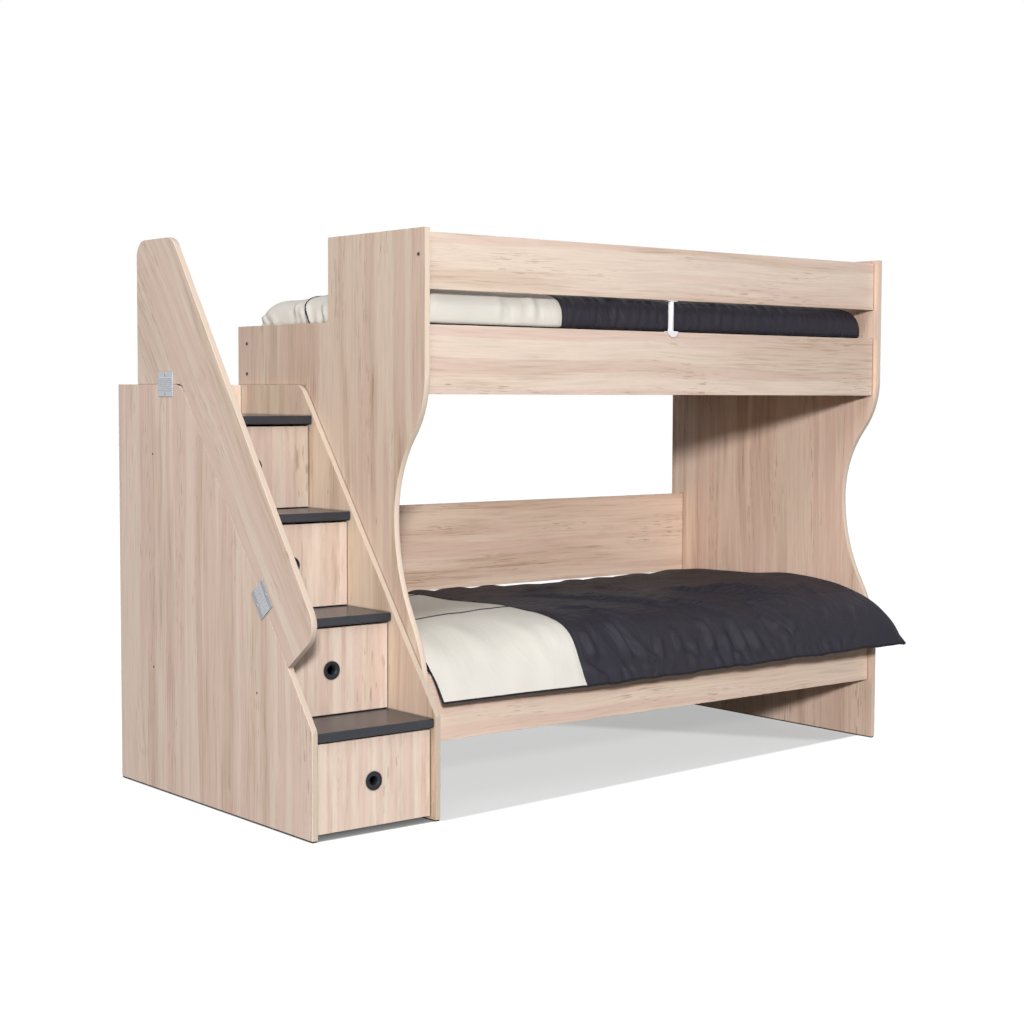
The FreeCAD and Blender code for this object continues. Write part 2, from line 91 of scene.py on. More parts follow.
def scaled(color, factor):
    return fedNode("ShaderNodeVectorMath", {0: color, "Scale": factor}, operation="SCALE").outputs[0]


def axesOf(vector):
    return fedNode("ShaderNodeSeparateXYZ", {0: vector}).outputs


def joined(*axes):
    return fedNode("ShaderNodeCombineXYZ", dict(enumerate(axes))).outputs[0]


def ease(source, low, high):
    # 0 below low, 1 above high, smooth between
    inputs = {"Value": source, "From Min": low, "From Max": high}
    return fedNode("ShaderNodeMapRange", inputs, interpolation_type="SMOOTHSTEP").outputs["Result"]


def vary(source, low, high):
    inputs = {"Value": source, "To Min": low, "To Max": high}
    return fedNode("ShaderNodeMapRange", inputs).outputs["Result"]


def noiseAt(vector, scale=1.0, detail=2.0, roughness=0.5):
    inputs = {"Vector": vector, "Scale": scale, "Detail": detail, "Roughness": roughness}
    return fedNode("ShaderNodeTexNoise", inputs).outputs[0]


def cellsAt(vector):
    # distance to the nearest cell's middle, two chance values of that cell and its place
    node = fedNode("ShaderNodeTexVoronoi", {"Vector": vector, "Scale": 1.0})
    chance = fedNode("ShaderNodeSeparateColor", {0: node.outputs["Color"]}).outputs
    return node.outputs["Distance"], chance[0], chance[1], node.outputs["Position"]


def solid(color):
    # a colour of three values gets its alpha
    return color if isinstance(color, bpy.types.NodeSocket) else (*color, 1)


def mixColor(factor, first, second):
    inputs = {0: factor, 6: solid(first), 7: solid(second)}
    return fedNode("ShaderNodeMix", inputs, data_type="RGBA", blend_type="MIX").outputs[2]


def colorRamp(source, stops):
    node = fedNode("ShaderNodeValToRGB", {0: source})
    ramp = node.color_ramp
    while len(ramp.elements) < len(stops):
        ramp.elements.new(1.0)
    for element, (place, color) in zip(ramp.elements, stops):
        element.position = place
        element.color = (*color, 1.0)
    return node.outputs["Color"]


def objectPoint(tree):
    return addNode(tree, "ShaderNodeTexCoord").outputs["Object"]


def openness(tree, reach, **settings):
    # below 1 where something stands within reach
    node = addNode(tree, "ShaderNodeAmbientOcclusion", **settings)
    node.inputs["Distance"].default_value = reach
    return ease(node.outputs["AO"], 0.45, 0.95)


def seenShare(tree):
    # 1 for what the camera sees, also by reflection or through glass
    rays = addNode(tree, "ShaderNodeLightPath").outputs
    seen = calc("MAXIMUM", rays["Is Camera Ray"], rays["Is Glossy Ray"])
    return calc("MAXIMUM", seen, rays["Is Transmission Ray"])


def newMaterial(name):
    material = bpy.data.materials.new(name)
    material.use_nodes = True
    tree = material.node_tree
    return material, tree, tree.nodes["Principled BSDF"]


def dress(shader, color, roughness, height, strength, distance, gloss=None):
    # gives a shader its colour, roughness and bump
    feed(shader.inputs["Base Color"], color)
    feed(shader.inputs["Roughness"], roughness)
    if gloss is not None:
        shader.inputs["Specular IOR Level"].default_value = gloss
    bump = fedNode("ShaderNodeBump", {"Strength": strength, "Distance": distance, "Height": height})
    feed(shader.inputs["Normal"], bump.outputs["Normal"])


# oak laminate: boards with a printed oak figure and cream edging

oak = {
    "pink": (0.766, 0.589, 0.497),
    "beige": (0.818, 0.672, 0.562),
    "tan": (0.660, 0.500, 0.392),
    "grain": (0.42, 0.270, 0.180),
    "knot": (0.25, 0.145, 0.090),
    "edging": (0.790, 0.650, 0.530),
    "roughness": (0.42, 0.56),
    "gloss": 0.13,
    "joint": 0.006,         # how far the painted shade at a joint reaches
    "knotCells": (4.4, 1.7, 9.0),
}


def grainVector(tree, grain, turn=0.0):
    # gives (across, along, depth) in metres for grain that runs along "x", "y" or "z"
    point = objectPoint(tree)
    if turn:
        point = fedNode("ShaderNodeMapping", {"Vector": point, "Rotation": (turn, 0, 0)}).outputs[0]
    x, y, z = axesOf(point)
    return joined(*{"z": (y, z, x), "x": (z, x, y), "y": (x, y, z)}[grain])


def oakFigure(grain, busy):
    # colour and pore height of the print; each stretch counts features per metre across, along, in depth
    wander = noiseAt(stretch(grain, (3.0, 1.3, 23.0)), detail=1.0)
    bent = vectorCalc("ADD", grain, joined(times(calc("SUBTRACT", wander, 0.5), 0.05)))
    # knots: few cells hold one, and the grain spreads round it
    knotPlace = stretch(bent, oak["knotCells"])
    near, chance, _, middle = cellsAt(knotPlace)
    chosen = ease(chance, 0.60, 0.62)
    around = times(chosen, ease(near, 0.20, 0.02))
    away = axesOf(vectorCalc("SUBTRACT", knotPlace, middle))[0]
    flow = vectorCalc("ADD", bent, joined(times(times(away, around), -0.16)))
    # soft bands of two tones, tan zones with denser grain, flecks in clusters, a few long dark lines
    bands = noiseAt(stretch(flow, (19.0, 0.40, 31.0)), detail=2.0, roughness=0.5)
    zone = noiseAt(stretch(flow, (13.0, 0.65, 29.0)), detail=2.0, roughness=0.55)
    streaks = noiseAt(stretch(flow, (135.0, 4.5, 47.0)), detail=3.0, roughness=0.6)
    flecks = noiseAt(stretch(flow, (290.0, 16.0, 83.0)), detail=1.0, roughness=0.4)
    lines = noiseAt(stretch(flow, (210.0, 4.6, 67.0)), detail=1.0, roughness=0.4)
    cluster = noiseAt(stretch(flow, (13.0, 2.2, 19.0)), detail=1.0)
    fibres = noiseAt(stretch(flow, (620.0, 22.0, 300.0)), detail=2.0, roughness=0.6)
    color = mixColor(ease(bands, 0.44, 0.54), oak["pink"], oak["beige"])
    dense = times(ease(zone, 0.45, 0.68), busy)
    color = mixColor(times(dense, 0.80), color, oak["tan"])
    dark = times(ease(streaks, 0.48, 0.70), vary(dense, 0.09, 0.40))
    color = mixColor(dark, color, oak["grain"])
    short = times(ease(flecks, 0.62, 0.69), ease(cluster, 0.52, 0.64))
    long = times(ease(lines, 0.63, 0.71), vary(dense, 0.10, 1.0))
    strong = calc("MAXIMUM", short, long)
    color = mixColor(times(strong, 0.40 + 0.22 * busy), color, oak["grain"])
    # growth rings round a knot, its core, and short dashes
    rings = calc("SINE", times(near, 190.0))
    rings = times(ease(rings, -0.2, 0.9), times(around, 0.20))
    color = mixColor(rings, color, oak["grain"])
    core = times(chosen, ease(near, 0.040, 0.014))
    color = mixColor(times(core, 0.50), color, oak["knot"])
    speckNear, _, speckChance, _ = cellsAt(stretch(bent, (34.0, 6.0, 29.0)))
    dash = times(ease(speckChance, 0.93, 0.94), ease(speckNear, 0.10, 0.03))
    color = mixColor(times(dash, 0.55), color, oak["knot"])
    color = scaled(color, times(vary(fibres, 0.91, 1.09), vary(streaks, 1.11, 0.89)))
    return color, calc("SUBTRACT", fibres, times(strong, 0.6)), fibres


def oakLaminate(name, grain, faceAxis, turn=0.0, busy=1.0, paintedLightShade=(1.0, 1.0, 1.0), rimPaintedLightShade=1.0):
    # faceAxis is the direction that the printed faces look in; the other faces carry the edging
    # the tones scale the board's colour and its edging's by painted light and shade: below 1 painted shade,
    # above 1 painted light
    material, tree, shader = newMaterial(name)
    color, height, fibres = oakFigure(grainVector(tree, grain, turn), busy)
    facing = axesOf(addNode(tree, "ShaderNodeNewGeometry").outputs["True Normal"])["xyz".index(faceAxis)]
    rim = ease(calc("ABSOLUTE", facing), 0.34, 0.20)
    mottle = noiseAt(objectPoint(tree), scale=260.0, detail=3.0)
    edging = scaled(oak["edging"], vary(mottle, 0.94 * rimPaintedLightShade, 1.05 * rimPaintedLightShade))
    color = mixColor(rim, stretch(color, paintedLightShade), edging)
    # painted shade darkens the joints between boards
    color = scaled(color, vary(openness(tree, oak["joint"], samples=6), 0.45, 1.0))
    dress(shader, color, vary(fibres, *oak["roughness"]), height, 0.35, 0.0004, oak["gloss"])
    return material


slopeTurn = math.radians(36.8)   # the guard panel's grain follows the stair's slope
# the tones of these copies paint in how light falls on each board
oakUprightX = oakLaminate("oakUprightX", "z", "x", paintedLightShade=(0.88, 0.865, 0.84))
oakStair = oakLaminate("oakStair", "z", "x", busy=0.9, paintedLightShade=(1.05, 1.03, 1.03), rimPaintedLightShade=0.84)
oakStairInner = oakLaminate("oakStairInner", "z", "x", busy=0.9, paintedLightShade=(0.88, 0.855, 0.795), rimPaintedLightShade=0.78)
oakFarEnd = oakLaminate("oakFarEnd", "z", "x", busy=1.1, paintedLightShade=(0.98, 0.90, 0.86))
oakBack = oakLaminate("oakBack", "x", "y", busy=1.15, paintedLightShade=(1.02, 0.96, 0.92))
oakUprightY = oakLaminate("oakUprightY", "z", "y", busy=0.55)
# drawer fronts, from the lowest up: the higher ones are painted darker, painted shade from the guard panel
# and the treads
drawerOaks = [oakLaminate("oakDrawer%d" % (n + 1), "z", "y", busy=0.55, paintedLightShade=(paintedLightShade, paintedLightShade, paintedLightShade))
              for n, paintedLightShade in enumerate((1.0, 0.92, 0.88, 0.70))]
oakLevelY = oakLaminate("oakLevelY", "x", "y", busy=0.85)
# the lower front rail's copy is painted lighter: painted light
oakLowRail = oakLaminate("oakLowRail", "x", "y", busy=0.85, paintedLightShade=(1.11, 1.07, 1.04))
oakSloped = oakLaminate("oakSloped", "z", "x", turn=slopeTurn, busy=0.6, paintedLightShade=(1.02, 1.02, 1.01),
                        rimPaintedLightShade=0.86)


# the other finishes

def anthraciteLaminate():
    material, tree, shader = newMaterial("anthraciteLaminate")
    point = objectPoint(tree)
    cloud = noiseAt(point, scale=22.0, detail=3.0)
    pores = noiseAt(point, scale=900.0, detail=2.0)
    color = mixColor(cloud, (0.030, 0.031, 0.040), (0.042, 0.044, 0.054))
    dress(shader, color, vary(pores, 0.20, 0.34), pores, 0.12, 0.0002, 0.32)
    return material


def plainBoard():
    # pale melamine of the drawer boxes, with a faint linear print
    material, tree, shader = newMaterial("plainBoard")
    grain = noiseAt(stretch(objectPoint(tree), (180.0, 6.0, 180.0)), detail=3.0)
    color = mixColor(grain, (0.80, 0.74, 0.65), (0.70, 0.63, 0.53))
    dress(shader, color, vary(grain, 0.45, 0.6), grain, 0.15, 0.0003)
    return material


def planedPine(name, grain):
    material, tree, shader = newMaterial(name)
    vector = grainVector(tree, grain)
    rings = noiseAt(stretch(vector, (60.0, 1.5, 60.0)), detail=3.0)
    fibre = noiseAt(stretch(vector, (600.0, 12.0, 600.0)), detail=2.0)
    stops = [(0.35, (0.80, 0.62, 0.40)), (0.55, (0.72, 0.50, 0.28)), (0.7, (0.82, 0.66, 0.45))]
    dress(shader, colorRamp(rings, stops), vary(fibre, 0.5, 0.7), fibre, 0.3, 0.0004)
    return material


def mouldedPlastic(name, color, roughness, grainSize):
    material, tree, shader = newMaterial(name)
    grain = noiseAt(objectPoint(tree), scale=grainSize, detail=2.0)
    shade = mixColor(grain, [c * 0.85 for c in color], [c * 1.2 for c in color])
    dress(shader, shade, vary(grain, roughness - 0.06, roughness + 0.08), grain, 0.15, 0.0002, 0.25)
    return material


def platedSteel(name, color, roughness, brushed, metal=0.85, hollowShadeReach=None):
    # painted shade darkens hollows, as far as the last argument reaches
    material, tree, shader = newMaterial(name)
    strokes = noiseAt(stretch(objectPoint(tree), brushed), detail=3.0)
    shade = mixColor(strokes, [c * 0.88 for c in color], color)
    if hollowShadeReach:
        flat = openness(tree, hollowShadeReach, only_local=True, samples=8)
        shade = mixColor(flat, [c * 0.7 for c in color], shade)
    shader.inputs["Metallic"].default_value = metal
    dress(shader, shade, vary(strokes, roughness - 0.08, roughness + 0.1), strokes, 0.12, 0.0002)
    return material


def whitePaint():
    material, tree, shader = newMaterial("whitePaint")
    peel = noiseAt(objectPoint(tree), scale=420.0, detail=1.0)
    color = mixColor(peel, (0.84, 0.85, 0.87), (0.90, 0.90, 0.91))
    dress(shader, color, vary(peel, 0.25, 0.36), peel, 0.08, 0.0003)
    return material


plateStrokes = (90.0, 700.0, 700.0)
anthracite = anthraciteLaminate()
drawerBoard = plainBoard()
pineAcross = planedPine("pineAcross", "y")
pineAlong = planedPine("pineAlong", "x")
footPlastic = mouldedPlastic("footPlastic", (0.035, 0.033, 0.033), 0.5, 500.0)
pullPlastic = mouldedPlastic("pullPlastic", (0.017, 0.020, 0.026), 0.34, 800.0)
capPlastic = mouldedPlastic("capPlastic", (0.46, 0.36, 0.29), 0.45, 600.0)
# one zinc in two copies: painted lighter for the upper guard plate and painted darker for the lower one,
# whose copy the screws share, for how light falls on each
zincPlate = platedSteel("zincPlate", (0.42, 0.43, 0.45), 0.46, plateStrokes, metal=0.2, hollowShadeReach=0.003)
litZincPlate = platedSteel("litZincPlate", (0.62, 0.65, 0.695), 0.46, plateStrokes, metal=0.2, hollowShadeReach=0.003)
darkSteel = platedSteel("darkSteel", (0.10, 0.08, 0.07), 0.45, (500.0, 500.0, 500.0))
slideSteel = platedSteel("slideSteel", (0.60, 0.62, 0.65), 0.34, (400.0, 20.0, 400.0))
whiteMetal = whitePaint()
print("finishes made")


# boards and fittings that keep their solid: edges eased and finishes given

easedEdges = {"board": 0.0009, "butted": 0.0015, "tread": 0.0008, "fitting": 0.0005}


def addModifier(piece, name, kind, **settings):
    modifier = piece.modifiers.new(name, kind)
    for key, value in settings.items():
        setattr(modifier, key, value)
    return modifier


def easeEdges(node, width):
    # joins the loose triangles, clears flat faces and rounds the sharp edges
    addModifier(node, "weld", "WELD", merge_threshold=0.00002)
    addModifier(node, "flat", "DECIMATE", decimate_type="DISSOLVE", angle_limit=math.radians(0.4))
    addModifier(node, "eased", "BEVEL", width=width, segments=2, limit_method="ANGLE",
                angle_limit=math.radians(40), harden_normals=True)


def perDrawer(pattern):
    return [pattern % n for n in range(1, 5)]


finishes = [
    (oakUprightX, "board", ["left_end_panel"]),
    (oakFarEnd, "board", ["right_end_panel"]),
    (oakBack, "board", ["lower_back_board"]),
    (oakStairInner, "board", ["stair_inner_panel"]),
    # a fine dark line shows where the guard panel stands on the stair's outer side
    (oakStair, "butted", ["stair_outer_panel"]),
    (oakSloped, "butted", ["stair_guard_panel"]),
    (oakUprightY, "board", ["stair_back_panel", "rear_guard_post"]),
    (oakLevelY, "board", ["upper_front_rail", "upper_rear_rail", "upper_front_guard", "upper_rear_guard",
                          "lower_rear_rail"]),
    (oakLowRail, "board", ["lower_front_rail"]),
    (anthracite, "tread", perDrawer("tread_%d")),
    (drawerBoard, "fitting", perDrawer("drawer_%d_walls")),
    (drawerBoard, None, perDrawer("drawer_%d_bottom")),
    (pullPlastic, "fitting", perDrawer("drawer_%d_pull")),
    (slideSteel, None, perDrawer("drawer_%d_rails") + perDrawer("drawer_%d_slides")),
    (pineAcross, "board", ["upper_slats", "lower_slats"]),
    (pineAlong, "board", ["upper_slat_ledges", "lower_slat_ledges"]),
    # dark plastic foot strips, which also stand in for the contact shadow along the floor under the panels
    (footPlastic, None, ["bed_foot_strips", "stair_foot_strips"]),
    (litZincPlate, "fitting", ["guard_plate_upper"]),
    (zincPlate, "fitting", ["guard_plate_lower"]),
    (capPlastic, "fitting", ["stair_link_plate"]),
    (whiteMetal, "fitting", ["guard_strut", "guard_strut_plate", "guard_strut_saddle"]),
]
finishes += [(material, "board", [name]) for material, name in zip(drawerOaks, perDrawer("drawer_%d_front"))]
for material, edge, names in finishes:
    for name in names:
        nodes[name].data.materials.clear()
        nodes[name].data.materials.append(material)
        if edge:
            easeEdges(nodes[name], easedEdges[edge])
print("boards and fittings finished")


# fabrics

weaveScale = 6000.0


def crumpledCloth(name, light, dark, gloss, crease, wrinkles=0.0):
    # light and dark are the two tones that fade and creases play between
    material, tree, shader = newMaterial(name)
    point = objectPoint(tree)
    cloud = noiseAt(point, scale=5.0, detail=4.0, roughness=0.6)
    lint = noiseAt(point, scale=420.0, detail=3.0)
    thread = addNode(tree, "ShaderNodeUVMap", uv_map="cloth").outputs[0]
    along, across, _ = axesOf(thread)
    weave = times(*[calc("SINE", times(axis, weaveScale)) for axis in (along, across)])
    color = mixColor(cloud, dark, light)
    color = mixColor(times(lint, 0.25), color, light)
    soft = noiseAt(stretch(thread, (19.0, 9.0, 1.0)), detail=2.5, roughness=0.5)
    drift = noiseAt(stretch(thread, (5.0, 5.0, 1.0)), detail=1.0)
    slanted = vectorCalc("ADD", stretch(thread, (20.0, 7.0, 1.0)), scaled((1.0, 0.5, 0.0), times(drift, 4.0)))
    ridge = calc("ABSOLUTE", calc("SUBTRACT", noiseAt(slanted, detail=1.0), 0.5))
    soft = calc("SUBTRACT", soft, times(calc("MINIMUM", ridge, 0.12), 3.0))
    # long wrinkles along the top, none on the front side
    topShare = times(ease(across, 0.96, 0.74), ease(across, 0.10, 0.25))
    long = noiseAt(stretch(thread, (3.4, 26.0, 1.0)), detail=2.5, roughness=0.55)
    long = calc("ABSOLUTE", calc("SUBTRACT", long, 0.5))
    soft = calc("ADD", soft, times(times(ease(long, 0.07, 0.0), topShare), wrinkles))
    height = calc("ADD", soft, calc("ADD", times(weave, 0.003), times(lint, 0.02)))
    dress(shader, color, vary(lint, 0.50, 0.66), height, crease, 0.012, gloss)
    return material


creamCotton = crumpledCloth("creamCotton", (0.765, 0.735, 0.675), (0.715, 0.685, 0.625), 0.10, 0.07)
charcoalCotton = crumpledCloth("charcoalCotton", (0.037, 0.034, 0.041), (0.026, 0.024, 0.037), 0.13, 0.40,
                               wrinkles=1.6)
reverseCotton = crumpledCloth("reverseCotton", (0.040, 0.038, 0.047), (0.028, 0.026, 0.033), 0.05, 0.12)
pipingCotton = crumpledCloth("pipingCotton", (0.030, 0.029, 0.036), (0.020, 0.019, 0.024), 0.05, 0.10)
ticking = crumpledCloth("ticking", (0.80, 0.79, 0.75), (0.72, 0.71, 0.67), 0.10, 0.08)
tickingTape = crumpledCloth("tickingTape", (0.62, 0.61, 0.58), (0.52, 0.51, 0.49), 0.10, 0.10)


# duvets: padded covers with a cream end at the stairs and charcoal on the rest

lowerDuvet = {
    "name": "lower_duvet_cover",
    "node": "lower_duvet",
    "ends": (-0.7285, 1.1600),
    "seam": -0.2065,
    "cells": (70, 176, 170),        # along the cream part, along the charcoal part, across
    # outlines (y, z) from the rear border over the top to the hem, at these shares of the way
    "shares": (0, 0.03, 0.06, 0.12, 0.36, 0.64, 0.76, 0.81, 0.85, 0.89, 0.945, 1),
    "leftBorder": [(0.503, 0.430), (0.502, 0.445), (0.480, 0.455), (0.413, 0.460), (0.138, 0.468),
                   (-0.175, 0.476), (-0.290, 0.472), (-0.338, 0.458), (-0.377, 0.434), (-0.406, 0.406),
                   (-0.435, 0.374), (-0.469, 0.325)],
    "outlines": [
        (-0.62, [(0.503, 0.440), (0.502, 0.465), (0.480, 0.482), (0.413, 0.489), (0.138, 0.500),
                 (-0.175, 0.512), (-0.295, 0.484), (-0.345, 0.461), (-0.378, 0.438), (-0.404, 0.411),
                 (-0.437, 0.372), (-0.471, 0.325)]),
        (-0.40, [(0.503, 0.446), (0.5015, 0.477), (0.479, 0.498), (0.4125, 0.505), (0.138, 0.512),
                 (-0.177, 0.522), (-0.303, 0.501), (-0.352, 0.482), (-0.388, 0.457), (-0.412, 0.426),
                 (-0.446, 0.378), (-0.480, 0.3255)]),
        (-0.2065, [(0.503, 0.452), (0.501, 0.488), (0.478, 0.512), (0.412, 0.521), (0.138, 0.524),
                   (-0.180, 0.528), (-0.315, 0.515), (-0.372, 0.500), (-0.410, 0.474), (-0.434, 0.437),
                   (-0.460, 0.383), (-0.4925, 0.326)]),
        (0.45, [(0.503, 0.452), (0.502, 0.485), (0.480, 0.509), (0.413, 0.519), (0.136, 0.523),
                (-0.188, 0.531), (-0.325, 0.515), (-0.383, 0.498), (-0.423, 0.472), (-0.452, 0.437),
                (-0.482, 0.386), (-0.510, 0.333)]),
        (1.10, [(0.503, 0.455), (0.502, 0.490), (0.480, 0.518), (0.413, 0.531), (0.130, 0.542),
                (-0.205, 0.549), (-0.358, 0.524), (-0.415, 0.507), (-0.461, 0.486), (-0.502, 0.460),
                (-0.552, 0.415), (-0.578, 0.352)]),
    ],
    "rightBorder": [(0.503, 0.425), (0.502, 0.432), (0.480, 0.440), (0.413, 0.447), (0.130, 0.458),
                    (-0.190, 0.470), (-0.335, 0.460), (-0.390, 0.449), (-0.435, 0.437), (-0.475, 0.421),
                    (-0.530, 0.394), (-0.581, 0.350)],
    # underside (share, y, z) between the borders: on the mattress, then over the front rail
    "underside": [(0.05, 0.470, 0.4048), (0.76, -0.315, 0.4048), (0.86, -0.411, 0.4050),
                  (0.94, -0.415, 0.368)],
    "length": 1.14,                 # from border to hem, measured over the top
    "mostMove": 0.006,
    "billow": 0.0014,
    "hemPlay": 0.4,                 # share of the folds that reaches the hem
    "hemWave": 0.0030,
    "square": (1.0, 1.0),           # below 1 the ends are fuller
    # piping along the cream part, as shares across, from the seam to the stair end
    "lines": [[0.598, 0.600, 0.594, 0.599, 0.602], [0.18, 0.182, 0.178, 0.18, 0.18]],
    # folds: places (x, share across) along each, its half width and its height
    "folds": [
        ([(-0.165, 0.835), (-0.154, 0.888), (-0.143, 0.945)], 0.0132, 0.0140),
        ([(-0.060, 0.800), (-0.028, 0.895), (0.000, 0.965)], 0.0132, 0.0185),
        ([(0.005, 0.870), (0.049, 0.929), (0.105, 0.975)], 0.0147, 0.0140),
        ([(-0.203, 0.935), (-0.154, 0.976), (-0.105, 1.0)], 0.0132, 0.0127),
        ([(0.128, 0.870), (0.116, 0.925), (0.108, 0.975)], 0.0132, 0.0098),
        ([(0.186, 0.855), (0.199, 0.905), (0.201, 0.955)], 0.0147, 0.0127),
        ([(0.318, 0.825), (0.341, 0.882), (0.336, 0.960)], 0.0147, 0.0185),
        ([(0.262, 0.900), (0.266, 0.970)], 0.0132, 0.0098),
        ([(0.455, 0.815), (0.462, 0.885), (0.470, 0.985)], 0.0147, 0.0185),
        ([(0.400, 0.880), (0.408, 0.970)], 0.0132, 0.0098),
        ([(0.518, 0.870), (0.530, 0.930), (0.540, 0.985)], 0.0147, 0.0127),
        ([(0.575, 0.850), (0.627, 0.888), (0.655, 0.915)], 0.0147, 0.0127),
        ([(0.612, 0.875), (0.655, 0.925), (0.670, 0.970)], 0.0147, 0.0127),
        ([(0.728, 0.850), (0.700, 0.930)], 0.0147, 0.0127),
        ([(0.905, 0.835), (0.830, 0.915), (0.775, 0.970)], 0.0132, 0.0061),
        ([(1.015, 0.850), (0.945, 0.930), (0.890, 0.985)], 0.0132, 0.0061),
        ([(0.230, 0.935), (0.255, 0.99)], 0.0103, 0.0085),
        ([(0.430, 0.955), (0.448, 1.0)], 0.0103, 0.0085),
        ([(0.570, 0.955), (0.615, 0.995)], 0.0103, 0.0085),
        ([(0.332, 0.955), (0.352, 1.0)], 0.0103, 0.0085),
        ([(-0.062, 0.955), (-0.018, 1.0)], 0.0103, 0.0098),
        ([(0.035, 0.960), (0.098, 0.995)], 0.0103, 0.0085),
        ([(0.030, 0.335), (0.180, 0.300), (0.330, 0.265)], 0.0132, 0.0101),
        ([(-0.050, 0.370), (0.064, 0.560), (0.255, 0.690)], 0.0132, 0.0120),
        ([(0.095, 0.350), (0.118, 0.590)], 0.0142, 0.0090),
        ([(0.216, 0.430), (0.200, 0.665)], 0.0142, 0.0090),
        ([(0.450, 0.240), (0.390, 0.560)], 0.0151, 0.0101),
        ([(0.135, 0.635), (0.274, 0.742), (0.345, 0.785)], 0.0123, 0.0112),
        ([(-0.115, 0.675), (0.010, 0.735)], 0.0123, 0.0090),
        ([(-0.055, 0.730), (0.055, 0.830)], 0.0123, 0.0101),
        ([(0.065, 0.655), (0.325, 0.684)], 0.0123, 0.0078),
        ([(-0.196, 0.660), (-0.180, 0.815)], 0.0113, 0.0071),
        ([(0.485, 0.588), (0.640, 0.610), (0.800, 0.650)], 0.0132, 0.0101),
        ([(0.470, 0.520), (0.589, 0.665), (0.715, 0.722)], 0.0132, 0.0112),
        ([(0.705, 0.540), (0.770, 0.712), (0.870, 0.775)], 0.0132, 0.0101),
        ([(0.325, 0.700), (0.432, 0.788), (0.500, 0.828)], 0.0123, 0.0112),
        ([(0.640, 0.640), (0.745, 0.820)], 0.0132, 0.0090),
        ([(0.957, 0.680), (0.948, 0.795)], 0.0142, 0.0071),
        ([(0.585, 0.760), (0.690, 0.850)], 0.0123, 0.0090),
        ([(-0.560, 0.640), (-0.520, 0.800), (-0.505, 0.930)], 0.0300, 0.0022),
        ([(-0.380, 0.700), (-0.330, 0.840), (-0.320, 0.960)], 0.0280, 0.0025),
        ([(-0.280, 0.760), (-0.262, 0.900)], 0.0220, 0.0020),
    ],
}
upperDuvet = {
    "name": "upper_duvet_cover",
    "node": "upper_duvet",
    "ends": (-0.7355, 1.1430),
    "seam": -0.2205,
    "square": (0.62, 0.35),
    "cells": (70, 186, 160),
    "shares": (0, 0.029, 0.060, 0.097, 0.248, 0.503, 0.739, 0.834, 0.879, 0.906, 0.930, 0.954, 0.971, 0.983,
               1),
    "leftBorder": 1.3965,           # the ends come down flat onto the mattress
    "outlines": [
        (-0.66, [(0.487, 1.3965), (0.5105, 1.413), (0.5110, 1.443), (0.490, 1.470), (0.330, 1.490),
                 (0.060, 1.504), (-0.190, 1.503), (-0.290, 1.496), (-0.338, 1.489), (-0.362, 1.476),
                 (-0.3765, 1.454), (-0.3808, 1.430), (-0.3808, 1.412), (-0.3780, 1.400),
                 (-0.3600, 1.3965)]),
        (1.08, [(0.487, 1.3965), (0.5105, 1.415), (0.5110, 1.448), (0.490, 1.478), (0.330, 1.495),
                (0.060, 1.502), (-0.190, 1.500), (-0.290, 1.496), (-0.338, 1.489), (-0.362, 1.476),
                (-0.3765, 1.454), (-0.3808, 1.430), (-0.3808, 1.412), (-0.3780, 1.400), (-0.3600, 1.3965)]),
    ],
    "rightBorder": 1.3965,
    "underside": [(0.05, 0.470, 1.3958), (0.95, -0.335, 1.3958)],
    "length": 1.02,
    "mostMove": 0.005,
    "billow": 0.0012,
    "hemPlay": 0.0,
    "hemWave": 0.0,
    "lines": [[0.345, 0.345, 0.343, 0.341, 0.340, 0.338, 0.336, 0.333, 0.325, 0.312, 0.318, 0.362]],
    "folds": [
        ([(-0.300, 0.30), (-0.050, 0.36)], 0.016, 0.0035),
        ([(0.100, 0.42), (0.420, 0.50)], 0.016, 0.0040),
        ([(0.350, 0.62), (0.650, 0.66)], 0.015, 0.0040),
        ([(-0.100, 0.66), (0.080, 0.74)], 0.015, 0.0035),
        ([(0.700, 0.40), (0.980, 0.52)], 0.016, 0.0040),
        ([(0.620, 0.74), (0.860, 0.78)], 0.015, 0.0035),
        ([(-0.520, 0.60), (-0.300, 0.66)], 0.020, 0.0025),
    ],
}


def through(points, at):
    # a smooth line through the points
    knots = np.array([p[0] for p in points], float)
    values = np.array([p[1] for p in points], float)
    slopes = np.gradient(values, knots, axis=0)
    at = np.clip(at, knots[0], knots[-1])
    k = np.clip(np.searchsorted(knots, at, side="right") - 1, 0, len(knots) - 2)
    width = knots[k + 1] - knots[k]
    t = (at - knots[k]) / width
    if values.ndim > 1:
        t, width = t[..., None], width[..., None]
    return ((2 * t ** 3 - 3 * t ** 2 + 1) * values[k] + (t ** 3 - 2 * t ** 2 + t) * width * slopes[k]
            + (3 * t ** 2 - 2 * t ** 3) * values[k + 1] + (t ** 3 - t ** 2) * width * slopes[k + 1])


def smooth(t):
    t = np.clip(t, 0.0, 1.0)
    return t * t * (3 - 2 * t)


roundCells = 14
roundLeft, roundRight = 0.070, 0.040        # how far the ends round off
rearFade, hemFade = 0.04, 0.03              # shares across in which the folds fade at the borders


